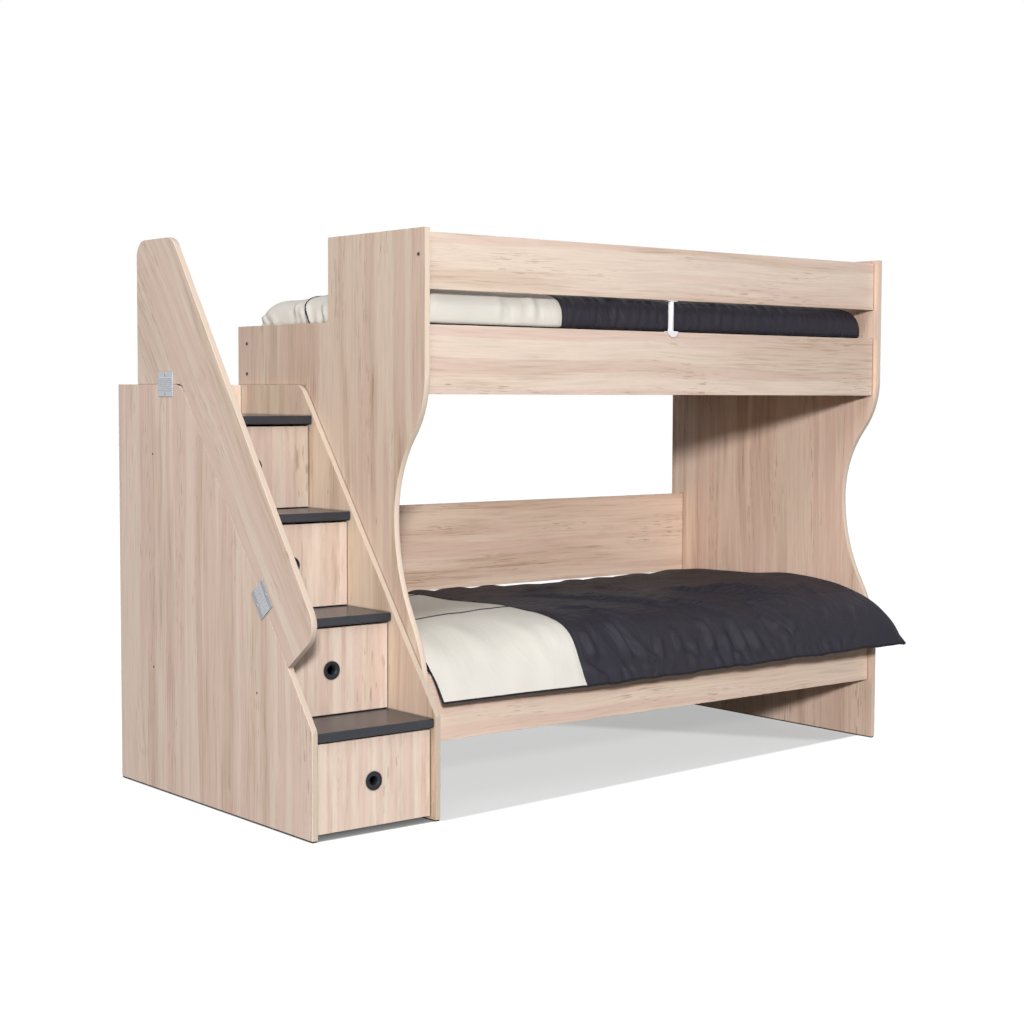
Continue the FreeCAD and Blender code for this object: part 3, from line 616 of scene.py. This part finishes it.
def layDuvet(spec):
    # columns run from the stair end to the far end, rows from the rear border over the top to the hem
    left, right = spec["ends"]
    nearCells, farCells, rowCells = spec["cells"]
    turn = np.linspace(0, np.pi / 2, roundCells + 1)[:-1]
    near = np.linspace(left + roundLeft, spec["seam"], nearCells + 1)
    far = np.linspace(spec["seam"], right - roundRight, farCells + 1)[1:]
    x = np.concatenate([left + (1 - np.cos(turn)) * roundLeft, near, far,
                        (right - (1 - np.cos(turn)) * roundRight)[::-1]])
    squareLeft, squareRight = spec["square"]
    full = np.concatenate([np.sin(turn) ** squareLeft, np.ones(len(near) + len(far)),
                           (np.sin(turn) ** squareRight)[::-1]])
    t = np.linspace(0, 1, rowCells + 1)
    places = [place for place, outline in spec["outlines"]]
    lines = np.array([through(list(zip(spec["shares"], outline)), t) for place, outline in spec["outlines"]])
    borders = {}
    for side in ("leftBorder", "rightBorder"):
        if isinstance(spec[side], float):
            rear, front = lines[0, 0, 0], lines[0, -1, 0]
            evenly = np.linspace(rear, front, len(t))
            across = 0.6 * np.clip(lines[0, :, 0], front, rear) + 0.4 * evenly      # no two rows meet
            borders[side] = np.stack([across, np.full(len(t), spec[side])], axis=-1)
        else:
            borders[side] = through(list(zip(spec["shares"], spec[side])), t)
    shape = (len(x), len(t))
    top, low = np.zeros((*shape, 3)), np.zeros((*shape, 3))
    stops = [0, *[u[0] for u in spec["underside"]], 1]
    for i, at in enumerate(x):
        over = np.stack([through(list(zip(places, lines[:, j])), np.array(at)) for j in range(len(t))])
        rests = [over[0], *[u[1:] for u in spec["underside"]], over[-1]]
        below = np.stack([np.interp(t, stops, [p[c] for p in rests]) for c in range(2)], axis=-1)
        border = borders["leftBorder" if at < spec["seam"] else "rightBorder"]
        top[i, :, 0] = low[i, :, 0] = at
        top[i, :, 1:] = border + (over - border) * full[i]
        low[i, :, 1:] = border + (below - border) * full[i] ** 3
    low[:, 0], low[:, -1] = top[:, 0], top[:, -1]
    hem = spec["hemPlay"] + (1 - spec["hemPlay"]) * smooth((1 - t) / hemFade)
    inner = np.minimum(full, 1.0)[:, None] * smooth(t / rearFade)[None, :] * hem[None, :]
    return {"x": x, "t": t, "top": top, "low": low, "inner": inner, "shape": shape,
            "seamColumn": roundCells + nearCells, "length": spec["length"]}


def foldHeight(x, s, fold):
    # a soft ridge along the fold's places, with a shallow trough on one side
    places, width, height = fold
    lengths = [math.hypot(b[0] - a[0], b[1] - a[1]) for a, b in zip(places, places[1:])]
    best = np.full(x.shape, 1e3)
    side, along = np.zeros(x.shape), np.zeros(x.shape)
    done = 0.0
    for (a, b), length in zip(zip(places, places[1:]), lengths):
        dx, ds = (b[0] - a[0]) / length, (b[1] - a[1]) / length
        run = (x - a[0]) * dx + (s - a[1]) * ds
        off = (x - a[0]) * ds - (s - a[1]) * dx
        far = np.hypot(off, run - np.clip(run, 0, length))
        near = far < best
        best = np.where(near, far, best)
        side = np.where(near, np.copysign(far, off), side)
        along = np.where(near, (done + np.clip(run, 0, length)) / sum(lengths), along)
        done += length
    fade = smooth(along / 0.3) * smooth((1 - along) / 0.3)
    ridge = np.exp(-(side / width) ** 2) - 0.6 * np.exp(-((side - 2.0 * width) / (1.25 * width)) ** 2)
    return height * fade * ridge


def billow(x, s, seed, size):
    # slow unevenness of the filling
    chance = random.Random(seed)
    total = np.zeros_like(x)
    for _ in range(12):
        turn = chance.uniform(0, math.tau)
        wave = chance.uniform(0.10, 0.42)
        phase = chance.uniform(0, math.tau)
        total += np.sin(math.tau * (x * math.cos(turn) + s * math.sin(turn)) / wave + phase)
    return size * total / 3.0


def gathered(spec):
    # small folds that repeat along an edge, placed by a fixed seed
    chance = random.Random(17)
    folds = []

    def addFold(places, width, height):
        folds.append((places, chance.uniform(*width), chance.uniform(*height)))

    if spec is lowerDuvet:
        at = -0.15
        while at < 1.1:         # ripples on the rear ridge
            addFold([(at, 0.02), (at + chance.uniform(-0.05, 0.05), 0.16)], (0.02, 0.035), (0.003, 0.006))
            at += chance.uniform(0.07, 0.2)
        at = -0.17
        while at < 0.95:        # gathers along the hem
            addFold([(at, 0.945), (at + chance.uniform(-0.015, 0.015), 1.05)], (0.008, 0.011), (0.003, 0.006))
            at += chance.uniform(0.025, 0.06)
        return folds
    for low, high, gap in ((-0.10, 0.19, 0.034), (0.34, 0.84, 0.043), (-0.19, 1.05, 0.15)):
        at = low
        while at < high:        # upright folds on the front side
            bow = chance.uniform(0.006, 0.016)
            addFold([(at + 0.018, 0.855), (at + bow, 0.90), (at, 0.99)], (0.008, 0.011), (0.003, 0.005))
            at += gap * chance.uniform(0.7, 1.4)
    for _ in range(7):          # faint ones on the cream front
        at = chance.uniform(-0.55, -0.25)
        folds.append(([(at, 0.86), (at + chance.uniform(-0.02, 0.02), 0.98)], 0.012, 0.0018))
    foot = -0.835
    for _ in range(14):         # pinches at the foot of the stair end
        across = chance.uniform(0.10, 0.60)
        reach = chance.uniform(0.07, 0.13)
        places = [(foot, across), (foot + reach, across - chance.uniform(0.02, 0.12))]
        folds.append((places, 0.010, 0.0105))
    return folds


def newMesh(name, verts, faces, threads=None, smoothShade=False):
    # threads are places on the cloth, one for each corner of each face
    mesh = bpy.data.meshes.new(name)
    mesh.from_pydata(verts, [], faces)
    if smoothShade:
        mesh.polygons.foreach_set("use_smooth", [True] * len(faces))
    if threads is not None:
        mesh.uv_layers.new(name="cloth").data.foreach_set("uv", np.ravel(threads))
    return mesh


def ringFaces(rings, sides, closed=False):
    # quads between rings of points, and caps on the first and last ring unless the rings close up
    faces = []
    for n in range(rings if closed else rings - 1):
        base, over = n * sides, (n + 1) % rings * sides
        for step in range(sides):
            after = (step + 1) % sides
            faces.append((base + step, base + after, over + after, over + step))
    if not closed:
        faces.append(tuple(range(sides - 1, -1, -1)))
        faces.append(tuple(range((rings - 1) * sides, rings * sides)))
    return faces


def coverMesh(name, grid, top, step=1):
    # a closed cover from the top and the underside, which share their border
    low = grid["low"][::step, ::step]
    x, t = grid["x"][::step], grid["t"][::step]
    columns, rows = top.shape[:2]
    number = np.arange(columns * rows).reshape(columns, rows)
    under = number.copy()
    under[1:-1, 1:-1] = columns * rows + np.arange((columns - 2) * (rows - 2)).reshape(columns - 2, rows - 2)
    verts = np.concatenate([top.reshape(-1, 3), low[1:-1, 1:-1].reshape(-1, 3)])

    def quads(index):
        corners = [index[:-1, :-1], index[:-1, 1:], index[1:, 1:], index[1:, :-1]]
        return np.stack(corners, axis=-1).reshape(-1, 4)

    place = np.stack(np.meshgrid(x, t * grid["length"], indexing="ij"), axis=-1).reshape(-1, 2)
    upFaces, downFaces = quads(number), quads(under)[:, ::-1]
    downPlaces = upFaces[:, ::-1]
    threads = np.concatenate([place[upFaces.ravel()], place[downPlaces.ravel()] + (0, 2)])
    mesh = newMesh(name, verts.tolist(), np.concatenate([upFaces, downFaces]).tolist(), threads, True)
    column = np.repeat(np.arange(columns - 1), rows - 1)
    finish = np.concatenate([np.where(column < grid["seamColumn"] // step, 0, 1), np.full(len(downFaces), 2)])
    mesh.polygons.foreach_set("material_index", finish.astype(np.int32))
    return mesh


filling = {
    "quality": 5,
    "mass": 0.3,
    "tension_stiffness": 12,
    "compression_stiffness": 12,
    "shear_stiffness": 6,
    "bending_stiffness": 0.6,
    "use_pressure": True,
    "uniform_pressure_force": 2.2,
    "vertex_group_mass": "hold",
    "pin_stiffness": 1.0,
}
fillingFrames = 20
fillingHold = 0.22          # how firmly the top is held in its place
fillingSlack = 1.006        # the cloth is cut a little larger than the form


def puff(spec, grid):
    # fills the cover: cloth under light pressure, held at the border and underneath
    # gives the move of each point of the top
    top = grid["top"][::2, ::2]
    count = top.shape[0] * top.shape[1]
    mesh = coverMesh("filling", grid, top, step=2)
    work = bpy.data.objects.new("filling", mesh)
    scene.collection.objects.link(work)
    group = work.vertex_groups.new(name="hold")
    hold = np.ones(len(mesh.vertices))
    hold[:count] = (1 - (1 - fillingHold) * grid["inner"][::2, ::2]).ravel()
    for index, weight in enumerate(hold):
        group.add([index], float(weight), "REPLACE")
    work.shape_key_add(name="Basis")
    slackKey = work.shape_key_add(name="slack")
    before = np.empty(len(mesh.vertices) * 3)
    mesh.vertices.foreach_get("co", before)
    slackKey.data.foreach_set("co", before * fillingSlack)
    cloth = work.modifiers.new("cloth", "CLOTH")
    for key, value in filling.items():
        setattr(cloth.settings, key, value)
    cloth.settings.effector_weights.gravity = 0
    cloth.settings.rest_shape_key = slackKey
    cloth.collision_settings.use_collision = False
    cloth.point_cache.frame_start = 1
    cloth.point_cache.frame_end = fillingFrames
    for moment in range(1, fillingFrames + 1):
        scene.frame_set(moment)
    graph = bpy.context.evaluated_depsgraph_get()
    settled = bpy.data.meshes.new_from_object(work.evaluated_get(graph))
    scene.frame_set(1)
    after = np.empty(len(settled.vertices) * 3)
    settled.vertices.foreach_get("co", after)
    bpy.data.objects.remove(work)
    bpy.data.meshes.remove(settled)
    move = (after - before).reshape(-1, 3)[:count].reshape(top.shape)
    far = np.linalg.norm(move, axis=-1)
    most, mean = 1000 * far.max(), 1000 * far.mean()
    print(spec["name"], "filled, moved %.1f mm at most, %.1f mm on average" % (most, mean))
    move *= np.minimum(1.0, spec["mostMove"] / np.maximum(far, 1e-9))[..., None]
    # back to the finer grid
    fine = np.zeros(grid["top"].shape)
    fine[::2, ::2] = move
    fine[1::2, ::2] = (fine[:-1:2, ::2] + fine[2::2, ::2]) / 2
    fine[:, 1::2] = (fine[:, :-1:2] + fine[:, 2::2]) / 2
    return fine


def addPiece(name, mesh, materials=()):
    for material in materials:
        mesh.materials.append(material)
    piece = bpy.data.objects.new(name, mesh)
    scene.collection.objects.link(piece)
    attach(piece, "frame")
    return piece


def tube(name, path, radius, sides=8, closed=False):
    # a round cord swept along a path of points, with its length along "cloth"
    path = [Vector(p) for p in path]
    count = len(path)
    verts, threads = [], []
    normal = None
    lengths = [0.0]
    for a, b in zip(path, path[1:]):
        lengths.append(lengths[-1] + (b - a).length)
    for i, point in enumerate(path):
        before = path[i - 1] if i or closed else point
        after = path[(i + 1) % count] if i < count - 1 or closed else point
        ahead = (after - before).normalized()
        if normal is None:
            normal = ahead.orthogonal()
        normal = (normal - ahead * normal.dot(ahead)).normalized()
        side = ahead.cross(normal)
        for step in range(sides):
            turn = math.tau * step / sides
            verts.append(point + radius * (math.cos(turn) * normal + math.sin(turn) * side))
    for i in range(count if closed else count - 1):
        near, far = lengths[i], lengths[min(i + 1, count - 1)]
        for step in range(sides):
            low, high = step / sides * 0.01, (step + 1) / sides * 0.01
            threads += [(near, low), (near, high), (far, high), (far, low)]
    if not closed:
        threads += [(0, 0)] * (2 * sides)
    return newMesh(name, verts, ringFaces(count, sides, closed), threads, True)


def joinMeshes(name, meshes):
    work = bmesh.new()
    for mesh in meshes:
        work.from_mesh(mesh)
        bpy.data.meshes.remove(mesh)
    whole = bpy.data.meshes.new(name)
    work.to_mesh(whole)
    work.free()
    return whole


def onCover(grid, points, x, t):
    # the finished cover's point at a place along and a share across
    columns, rows = grid["shape"]
    column = np.interp(x, grid["x"], np.arange(columns))
    row = np.interp(t, grid["t"], np.arange(rows))
    i, j = min(int(column), columns - 2), min(int(row), rows - 2)
    a, b = column - i, row - j
    near = points[i, j] * (1 - b) + points[i, j + 1] * b
    far = points[i + 1, j] * (1 - b) + points[i + 1, j + 1] * b
    return Vector(near * (1 - a) + far * a)


piping = {"border": 0.0029, "line": 0.0026, "points": 120}
seamDepth, seamWidth = 0.003, 0.008
hemWaves = [(0.31, 1.0, 1.0), (0.14, 2.0, 0.8), (0.08, 0.0, 0.4)]      # length, phase and share


def makeDuvet(spec):
    grid = layDuvet(spec)
    points = grid["top"].copy()
    points += puff(spec, grid)
    # folds go on last, square to the filled cover
    along, across = np.gradient(points, axis=0), np.gradient(points, axis=1)
    normal = np.cross(along, -across)
    normal /= np.maximum(np.linalg.norm(normal, axis=-1), 1e-12)[..., None]
    # places along are measured over the ends, not through them
    middle = points[:, len(grid["t"]) // 2]
    over = np.concatenate([[0], np.cumsum(np.linalg.norm(np.diff(middle, axis=0), axis=1))])
    over += spec["seam"] - over[grid["seamColumn"]]
    x = np.repeat(over[:, None], len(grid["t"]), axis=1)
    s = np.repeat(grid["t"][None, :], len(grid["x"]), axis=0) * spec["length"]
    raised = billow(x, s, 5, spec["billow"])
    for places, width, height in spec["folds"] + gathered(spec):
        raised += foldHeight(x, s, ([(px, pt * spec["length"]) for px, pt in places], width, height))
    raised -= seamDepth * np.exp(-((x - spec["seam"]) / seamWidth) ** 2)
    points += normal * (raised * grid["inner"])[..., None]
    # the hem waves along the charcoal part
    wave = sum(share * np.sin(math.tau * x / length + phase) for length, phase, share in hemWaves)
    wave *= smooth((s / spec["length"] - 0.9) / 0.1) * smooth((x - spec["seam"] + 0.05) / 0.2)
    points[..., 2] += spec["hemWave"] * wave / 2
    cover = addPiece(spec["name"], coverMesh(spec["name"], grid, points),
                     (creamCotton, charcoalCotton, reverseCotton))
    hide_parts(spec["node"])
    border = [*points[:-1, 0], *points[-1, :-1], *points[:0:-1, -1], *points[0, :0:-1]]
    tubes = [tube("edge", border, piping["border"], closed=True)]
    for line in spec["lines"]:
        path = []
        for stop in np.linspace(0, 1, piping["points"]):
            at = np.interp(grid["seamColumn"] * (1 - stop), np.arange(grid["shape"][0]), grid["x"])
            share = through([(n / (len(line) - 1), value) for n, value in enumerate(line)], np.array(stop))
            path.append(onCover(grid, points, at, float(share)))
        tubes.append(tube("line", path, piping["line"]))
    pipingName = spec["name"] + "_piping"
    addPiece(pipingName, joinMeshes(pipingName, tubes), (pipingCotton,))
    return grid, points


lowerGrid, lowerPoints = makeDuvet(lowerDuvet)
upperGrid, upperPoints = makeDuvet(upperDuvet)
print("duvets made")


# mattresses: crowned panels with a taped edge round a soft band

mattress = {
    "corner": 0.045,
    "tape": 0.0055,
    "tapeHeights": (0.0125, 0.1375),
    # outlines from the underside to the top: how far inside the edge, and the height
    "rings": [(0.30, 0.0030), (0.12, 0.0020), (0.050, 0.0010), (0.020, 0.0030), (0.008, 0.0085),
              (0.0055, 0.0130), (0.0030, 0.0300), (0.0012, 0.0750), (0.0030, 0.1200), (0.0055, 0.1370),
              (0.008, 0.1415), (0.020, 0.1465), (0.050, 0.1485), (0.12, 0.1492), (0.30, 0.1494)],
}


cornerPoints = 7
sideCells = (12, 24, 12, 24)        # along the straight side after each corner


def roundedOutline(low, high, inset, radius):
    # a rectangle with round corners, as points that run anticlockwise
    x0, y0, x1, y1 = low[0] + inset, low[1] + inset, high[0] - inset, high[1] - inset
    radius = max(radius - inset * 0.4, 0.01)
    corners = [(x1 - radius, y0 + radius, -90), (x1 - radius, y1 - radius, 0),
               (x0 + radius, y1 - radius, 90), (x0 + radius, y0 + radius, 180)]
    outline = []
    for cx, cy, first in corners:
        for step in range(cornerPoints):
            turn = math.radians(first + step * 90 / (cornerPoints - 1))
            outline.append((cx + radius * math.cos(turn), cy + radius * math.sin(turn)))
    dense = []
    for n, (ax, ay) in enumerate(outline):
        bx, by = outline[(n + 1) % len(outline)]
        corner, step = divmod(n, cornerPoints)
        cells = sideCells[corner] if step == cornerPoints - 1 else 1
        dense += [(ax + (bx - ax) * c / cells, ay + (by - ay) * c / cells) for c in range(cells)]
    return dense


def makeMattress(level):
    low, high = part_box(level + "_mattress")
    verts = []
    for inset, height in mattress["rings"]:
        outline = roundedOutline(low, high, inset, mattress["corner"])
        verts += [(x, y, low[2] + height) for x, y in outline]
    faces = ringFaces(len(mattress["rings"]), len(outline))
    corners = [verts[corner] for face in faces for corner in face]
    threads = [(x + z, y + z) for x, y, z in corners]
    mesh = newMesh(level + "_mattress_pad", verts, faces, threads, True)
    pad = addPiece(level + "_mattress_pad", mesh, (ticking,))
    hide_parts(level + "_mattress")
    tapes = []
    for height in mattress["tapeHeights"]:
        outline = roundedOutline(low, high, mattress["tape"], mattress["corner"])
        path = [(x, y, low[2] + height) for x, y in outline]
        tapes.append(tube("tape", path, mattress["tape"], closed=True))
    tapeName = level + "_mattress_tape"
    addPiece(tapeName, joinMeshes(tapeName, tapes), (tickingTape,))


makeMattress("lower")
makeMattress("upper")
print("mattresses made")


# hardware that repeats: heads of bolts and screws, screw caps and stitches

def ringRadius(kind, radius, turn):
    if kind == "hex":
        return radius / math.cos((turn + math.pi / 6) % (math.pi / 3) - math.pi / 6)
    if kind == "cross":
        return radius * (0.42 + 0.58 * abs(math.cos(2 * turn)) ** 5)
    return radius


def turnedHead(name, rings, sides=24):
    # rings of (kind, radius, height) from the rim to the middle of the recess, along +Z
    verts = []
    for kind, radius, height in rings:
        for step in range(sides):
            turn = math.tau * step / sides
            r = ringRadius(kind, radius, turn)
            verts.append((r * math.cos(turn), r * math.sin(turn), height))
    return newMesh(name, verts, ringFaces(len(rings), sides))


boltHead = [("round", 0.0050, 0.0), ("round", 0.0050, 0.0012), ("round", 0.0046, 0.0021),
            ("round", 0.0038, 0.0025), ("hex", 0.0026, 0.0024), ("hex", 0.0025, 0.0004)]
screwHead = [("round", 0.0050, 0.0), ("round", 0.0049, 0.0006), ("round", 0.0042, 0.0014),
             ("round", 0.0034, 0.0019), ("cross", 0.0029, 0.0020), ("cross", 0.0022, 0.0005)]
screwCap = [("round", 0.0030, 0.0), ("round", 0.0030, 0.0004), ("round", 0.0026, 0.0008),
            ("round", 0.0014, 0.0009)]


def instanceTree():
    # instances of one shape on the points of a mesh, turned by each point's own "turn"
    tree = bpy.data.node_groups.new("onPoints", "GeometryNodeTree")
    inputs = {}
    for name, way, kind in (("Points", "INPUT", "Geometry"), ("Shape", "INPUT", "Object"),
                            ("Finish", "INPUT", "Material"), ("Result", "OUTPUT", "Geometry")):
        socket = tree.interface.new_socket(name, in_out=way, socket_type="NodeSocket" + kind)
        inputs[name] = socket.identifier
    source = tree.nodes.new("NodeGroupInput")
    place = tree.nodes.new("GeometryNodeInstanceOnPoints")
    info = tree.nodes.new("GeometryNodeObjectInfo")
    turn = addNode(tree, "GeometryNodeInputNamedAttribute", data_type="FLOAT_VECTOR")
    turn.inputs["Name"].default_value = "turn"
    real = tree.nodes.new("GeometryNodeRealizeInstances")
    paint = tree.nodes.new("GeometryNodeSetMaterial")
    result = tree.nodes.new("NodeGroupOutput")
    feed(place.inputs["Points"], source.outputs["Points"])
    feed(info.inputs["Object"], source.outputs["Shape"])
    feed(place.inputs["Instance"], info.outputs["Geometry"])
    feed(place.inputs["Rotation"], turn.outputs["Attribute"])
    feed(real.inputs["Geometry"], place.outputs["Instances"])
    feed(paint.inputs["Geometry"], real.outputs["Geometry"])
    feed(paint.inputs["Material"], source.outputs["Finish"])
    feed(result.inputs["Result"], paint.outputs["Geometry"])
    return tree, inputs


onPoints, onPointsInputs = instanceTree()


def scatter(name, shapeMesh, points, turns, material, smoothShade=False):
    shape = bpy.data.objects.new("shape", shapeMesh)
    mesh = newMesh("points", [tuple(p) for p in points], [])
    turnOf = mesh.attributes.new("turn", "FLOAT_VECTOR", "POINT")
    turnOf.data.foreach_set("vector", [c for turn in turns for c in turn])
    holder = bpy.data.objects.new("holder", mesh)
    modifier = addModifier(holder, "onPoints", "NODES", node_group=onPoints)
    modifier[onPointsInputs["Shape"]] = shape
    modifier[onPointsInputs["Finish"]] = material
    scene.collection.objects.link(holder)
    scene.collection.objects.link(shape)
    bpy.context.view_layer.update()
    graph = bpy.context.evaluated_depsgraph_get()
    result = bpy.data.meshes.new_from_object(holder.evaluated_get(graph))
    for old in (holder, shape):
        bpy.data.objects.remove(old)
    result.name = name
    if smoothShade:
        result.polygons.foreach_set("use_smooth", [True] * len(result.polygons))
    return addPiece(name, result)


def looseBoxes(nodeName):
    # lowest and highest corner of each loose part of a node
    work = bmesh.new()
    work.from_mesh(nodes[nodeName].data)
    bmesh.ops.remove_doubles(work, verts=work.verts, dist=1e-5)
    left = set(work.verts)
    found = []
    while left:
        stack = [left.pop()]
        isle = list(stack)
        while stack:
            for edge in stack.pop().link_edges:
                for other in edge.verts:
                    if other in left:
                        left.remove(other)
                        stack.append(other)
                        isle.append(other)
        low = Vector([min(v.co[a] for v in isle) for a in range(3)])
        high = Vector([max(v.co[a] for v in isle) for a in range(3)])
        found.append((low, high))
    work.free()
    return sorted(found, key=lambda pair: tuple(round(c, 5) for c in pair[0]))


towardsLeft = (0.0, -math.pi / 2, 0.0)
towardsRight = (0.0, math.pi / 2, 0.0)


def makeHeads(nodeName, name, head, material):
    points, turns = [], []
    for low, high in looseBoxes(nodeName):
        middle = (low + high) / 2
        leftSide = middle.x < 0
        points.append((high.x if leftSide else low.x, middle.y, middle.z))
        turns.append(towardsLeft if leftSide else towardsRight)
    piece = scatter(name, turnedHead(name, head), points, turns, material)
    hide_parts(nodeName)


makeHeads("bed_bolt_heads", "bolt_heads", boltHead, darkSteel)
makeHeads("guard_plate_screws", "plate_screws", screwHead, zincPlate)
capPlaces = [(-1.1895, 0.3664, 1.0129), (-1.1895, 0.3704, 0.3715), (-1.1895, -0.2239, 0.3685)]
scatter("screw_caps", turnedHead("screw_caps", screwCap, 20), capPlaces, [towardsLeft] * len(capPlaces),
        footPlastic)


def stitchMesh():
    # one thread stitch along +X, a low arch of a few faces
    verts = []
    for x, z, r in ((-0.0019, -0.0002, 0.0003), (-0.0008, 0.0005, 0.00042), (0.0008, 0.0005, 0.00042),
                    (0.0019, -0.0002, 0.0003)):
        for step in range(4):
            turn = math.tau * (step + 0.5) / 4
            verts.append((x, r * math.cos(turn), z + r * math.sin(turn)))
    return newMesh("stitch", verts, ringFaces(4, 4))


stitch = {"pitch": 0.0055, "aside": 0.006, "lift": 0.0003, "freeRows": 3}


def stitchSeam(name, grid, points):
    # a row of stitches on the charcoal side of the seam, following the finished cover
    k = grid["seamColumn"]
    rows = slice(stitch["freeRows"], -stitch["freeRows"])
    line = points[k, rows]
    along = np.concatenate([[0], np.cumsum(np.linalg.norm(np.diff(line, axis=0), axis=1))])
    sideways = points[k + 1, rows] - line
    line = line + sideways / np.linalg.norm(sideways, axis=1)[:, None] * stitch["aside"]

    def at(values, place):
        return np.array([np.interp(place, along, values[:, c]) for c in range(3)])

    places, turns = [], []
    for place in np.arange(stitch["pitch"], along[-1], stitch["pitch"]):
        run = Vector(at(line, place + 0.003) - at(line, place - 0.003)).normalized()
        out = Vector(at(sideways, place)).cross(-run).normalized()
        out = out if out.z > -0.2 else -out
        places.append(Vector(at(line, place)) + out * stitch["lift"])
        turns.append(Matrix((run, out.cross(run), out)).transposed().to_euler())
    scatter(name, stitchMesh(), places, turns, pipingCotton, smoothShade=True)


stitchSeam("lower_duvet_stitches", lowerGrid, lowerPoints)
stitchSeam("upper_duvet_stitches", upperGrid, upperPoints)
print("hardware and stitches made")


# floor, light and camera

stage = {
    "floorSize": 60.0,
    "lampAim": (-0.1, -0.2, 0.85),
    # lamps: place, size, power and how the light falls off with distance
    "lamps": {"key": ((-5.30, -6.80, 2.80), 0.7, 72.5, "Linear"),
              "fill": ((-3.00, -2.60, 4.80), 2.6, 88.0, "Quadratic")},
    "ambient": 0.205,
    "floorColor": 0.22,
    # own brightness of the open floor, and of the painted shadow on the floor under the bed and in its far
    # corner
    "openGlow": 1.0,
    "bedShadowGlow": 0.59,
    "cornerShadowGlow": 0.45,
    "bedSpace": ((-0.765, 1.19), (-1.0, 0.60)),
    # edges of the painted shadow on the floor, and how soft each is
    "frontLine": ((-0.773, -0.513), (1.099, -0.373), 0.016),
    "cornerLine": ((0.963, -0.291), (0.515, 0.376), 0.05),
    "stairSpace": ((-1.19, -0.765), (-0.50, 0.583)),       # painted shade darkens the floor under the stair
    "stairShadeGlow": 0.1,
    "spaceSoft": 0.01,
}


def makeFloor():
    half = stage["floorSize"] / 2
    corners = [(-half, -half, 0), (half, -half, 0), (half, half, 0), (-half, half, 0)]
    mesh = newMesh("floor", corners, [(0, 1, 2, 3)])
    floor = bpy.data.objects.new("floor", mesh)
    scene.collection.objects.link(floor)
    material, tree, shader = newMaterial("paleFloor")
    shader.inputs["Base Color"].default_value = (*[stage["floorColor"]] * 3, 1)
    shader.inputs["Roughness"].default_value = 0.9
    shader.inputs["Specular IOR Level"].default_value = 0.0
    # the open floor is white; under the bed it keeps its real shadow, and a painted shadow lowers its glow
    # there, deeper in the far corner
    point = objectPoint(tree)
    axes = axesOf(point)

    def beyond(line):
        # 1 on the left of the line as it runs
        (ax, ay), (bx, by), soft = line
        length = math.hypot(bx - ax, by - ay)
        across = ((ay - by) / length, (bx - ax) / length, 0)
        side = fedNode("ShaderNodeVectorMath", {0: point, 1: across}, operation="DOT_PRODUCT")
        at = (ax * (ay - by) + ay * (bx - ax)) / length
        return ease(side.outputs["Value"], at - soft, at + soft)

    def within(space):
        # 1 over a rectangle of the floor
        share = 1.0
        soft = stage["spaceSoft"]
        for axis, (low, high) in zip(axes, space):
            share = times(share, ease(axis, low - soft, low + soft))
            share = times(share, ease(axis, high + soft, high - soft))
        return share

    # painted shadow under the bed and in its far corner, and painted shade under the stair
    under = times(beyond(stage["frontLine"]), within(stage["bedSpace"]))
    corner = calc("SUBTRACT", 1.0, beyond(stage["cornerLine"]))
    glow = vary(under, stage["openGlow"], vary(corner, stage["bedShadowGlow"], stage["cornerShadowGlow"]))
    glow = times(glow, vary(within(stage["stairSpace"]), 1.0, stage["stairShadeGlow"]))
    shader.inputs["Emission Color"].default_value = (1, 1, 1, 1)
    feed(shader.inputs["Emission Strength"], times(seenShare(tree), glow))
    mesh.materials.append(material)


def addLamp(name, place, size, power, falloff):
    data = bpy.data.lights.new(name, "AREA")
    data.shape = "DISK"
    data.size = size
    data.energy = power
    data.use_nodes = True
    fade = addNode(data.node_tree, "ShaderNodeLightFalloff")
    fade.inputs["Strength"].default_value = 1.0
    feed(data.node_tree.nodes["Emission"].inputs["Strength"], fade.outputs[falloff])
    lamp = bpy.data.objects.new(name, data)
    lamp.location = place
    aim = Vector(stage["lampAim"]) - lamp.location
    lamp.rotation_euler = aim.to_track_quat("-Z", "Y").to_euler()
    scene.collection.objects.link(lamp)


def makeLight():
    for name, lamp in stage["lamps"].items():
        addLamp(name, *lamp)
    world = bpy.data.worlds.new("studio")
    scene.world = world
    world.use_nodes = True
    tree = world.node_tree
    background = tree.nodes["Background"]
    background.inputs["Color"].default_value = (1, 1, 1, 1)
    feed(background.inputs["Strength"], vary(seenShare(tree), stage["ambient"], 1.0))


view = {
    "place": (-3.83009, -4.59107, 1.19823),
    "yaw": 0.6821,
    "pitch": 0.0643,
    "roll": 0.0039,
    "lens": 64.806,
}


def makeCamera():
    data = bpy.data.cameras.new("camera")
    data.sensor_width = 36.0
    data.lens = view["lens"]
    camera = bpy.data.objects.new("camera", data)
    camera.matrix_world = (Matrix.Translation(view["place"]) @ Matrix.Rotation(-view["yaw"], 4, "Z")
                           @ Matrix.Rotation(math.pi / 2 - view["pitch"], 4, "X")
                           @ Matrix.Rotation(view["roll"], 4, "Z"))
    scene.collection.objects.link(camera)
    scene.camera = camera


makeFloor()
makeLight()
makeCamera()
scene.view_settings.view_transform = "Standard"
print("stage set")
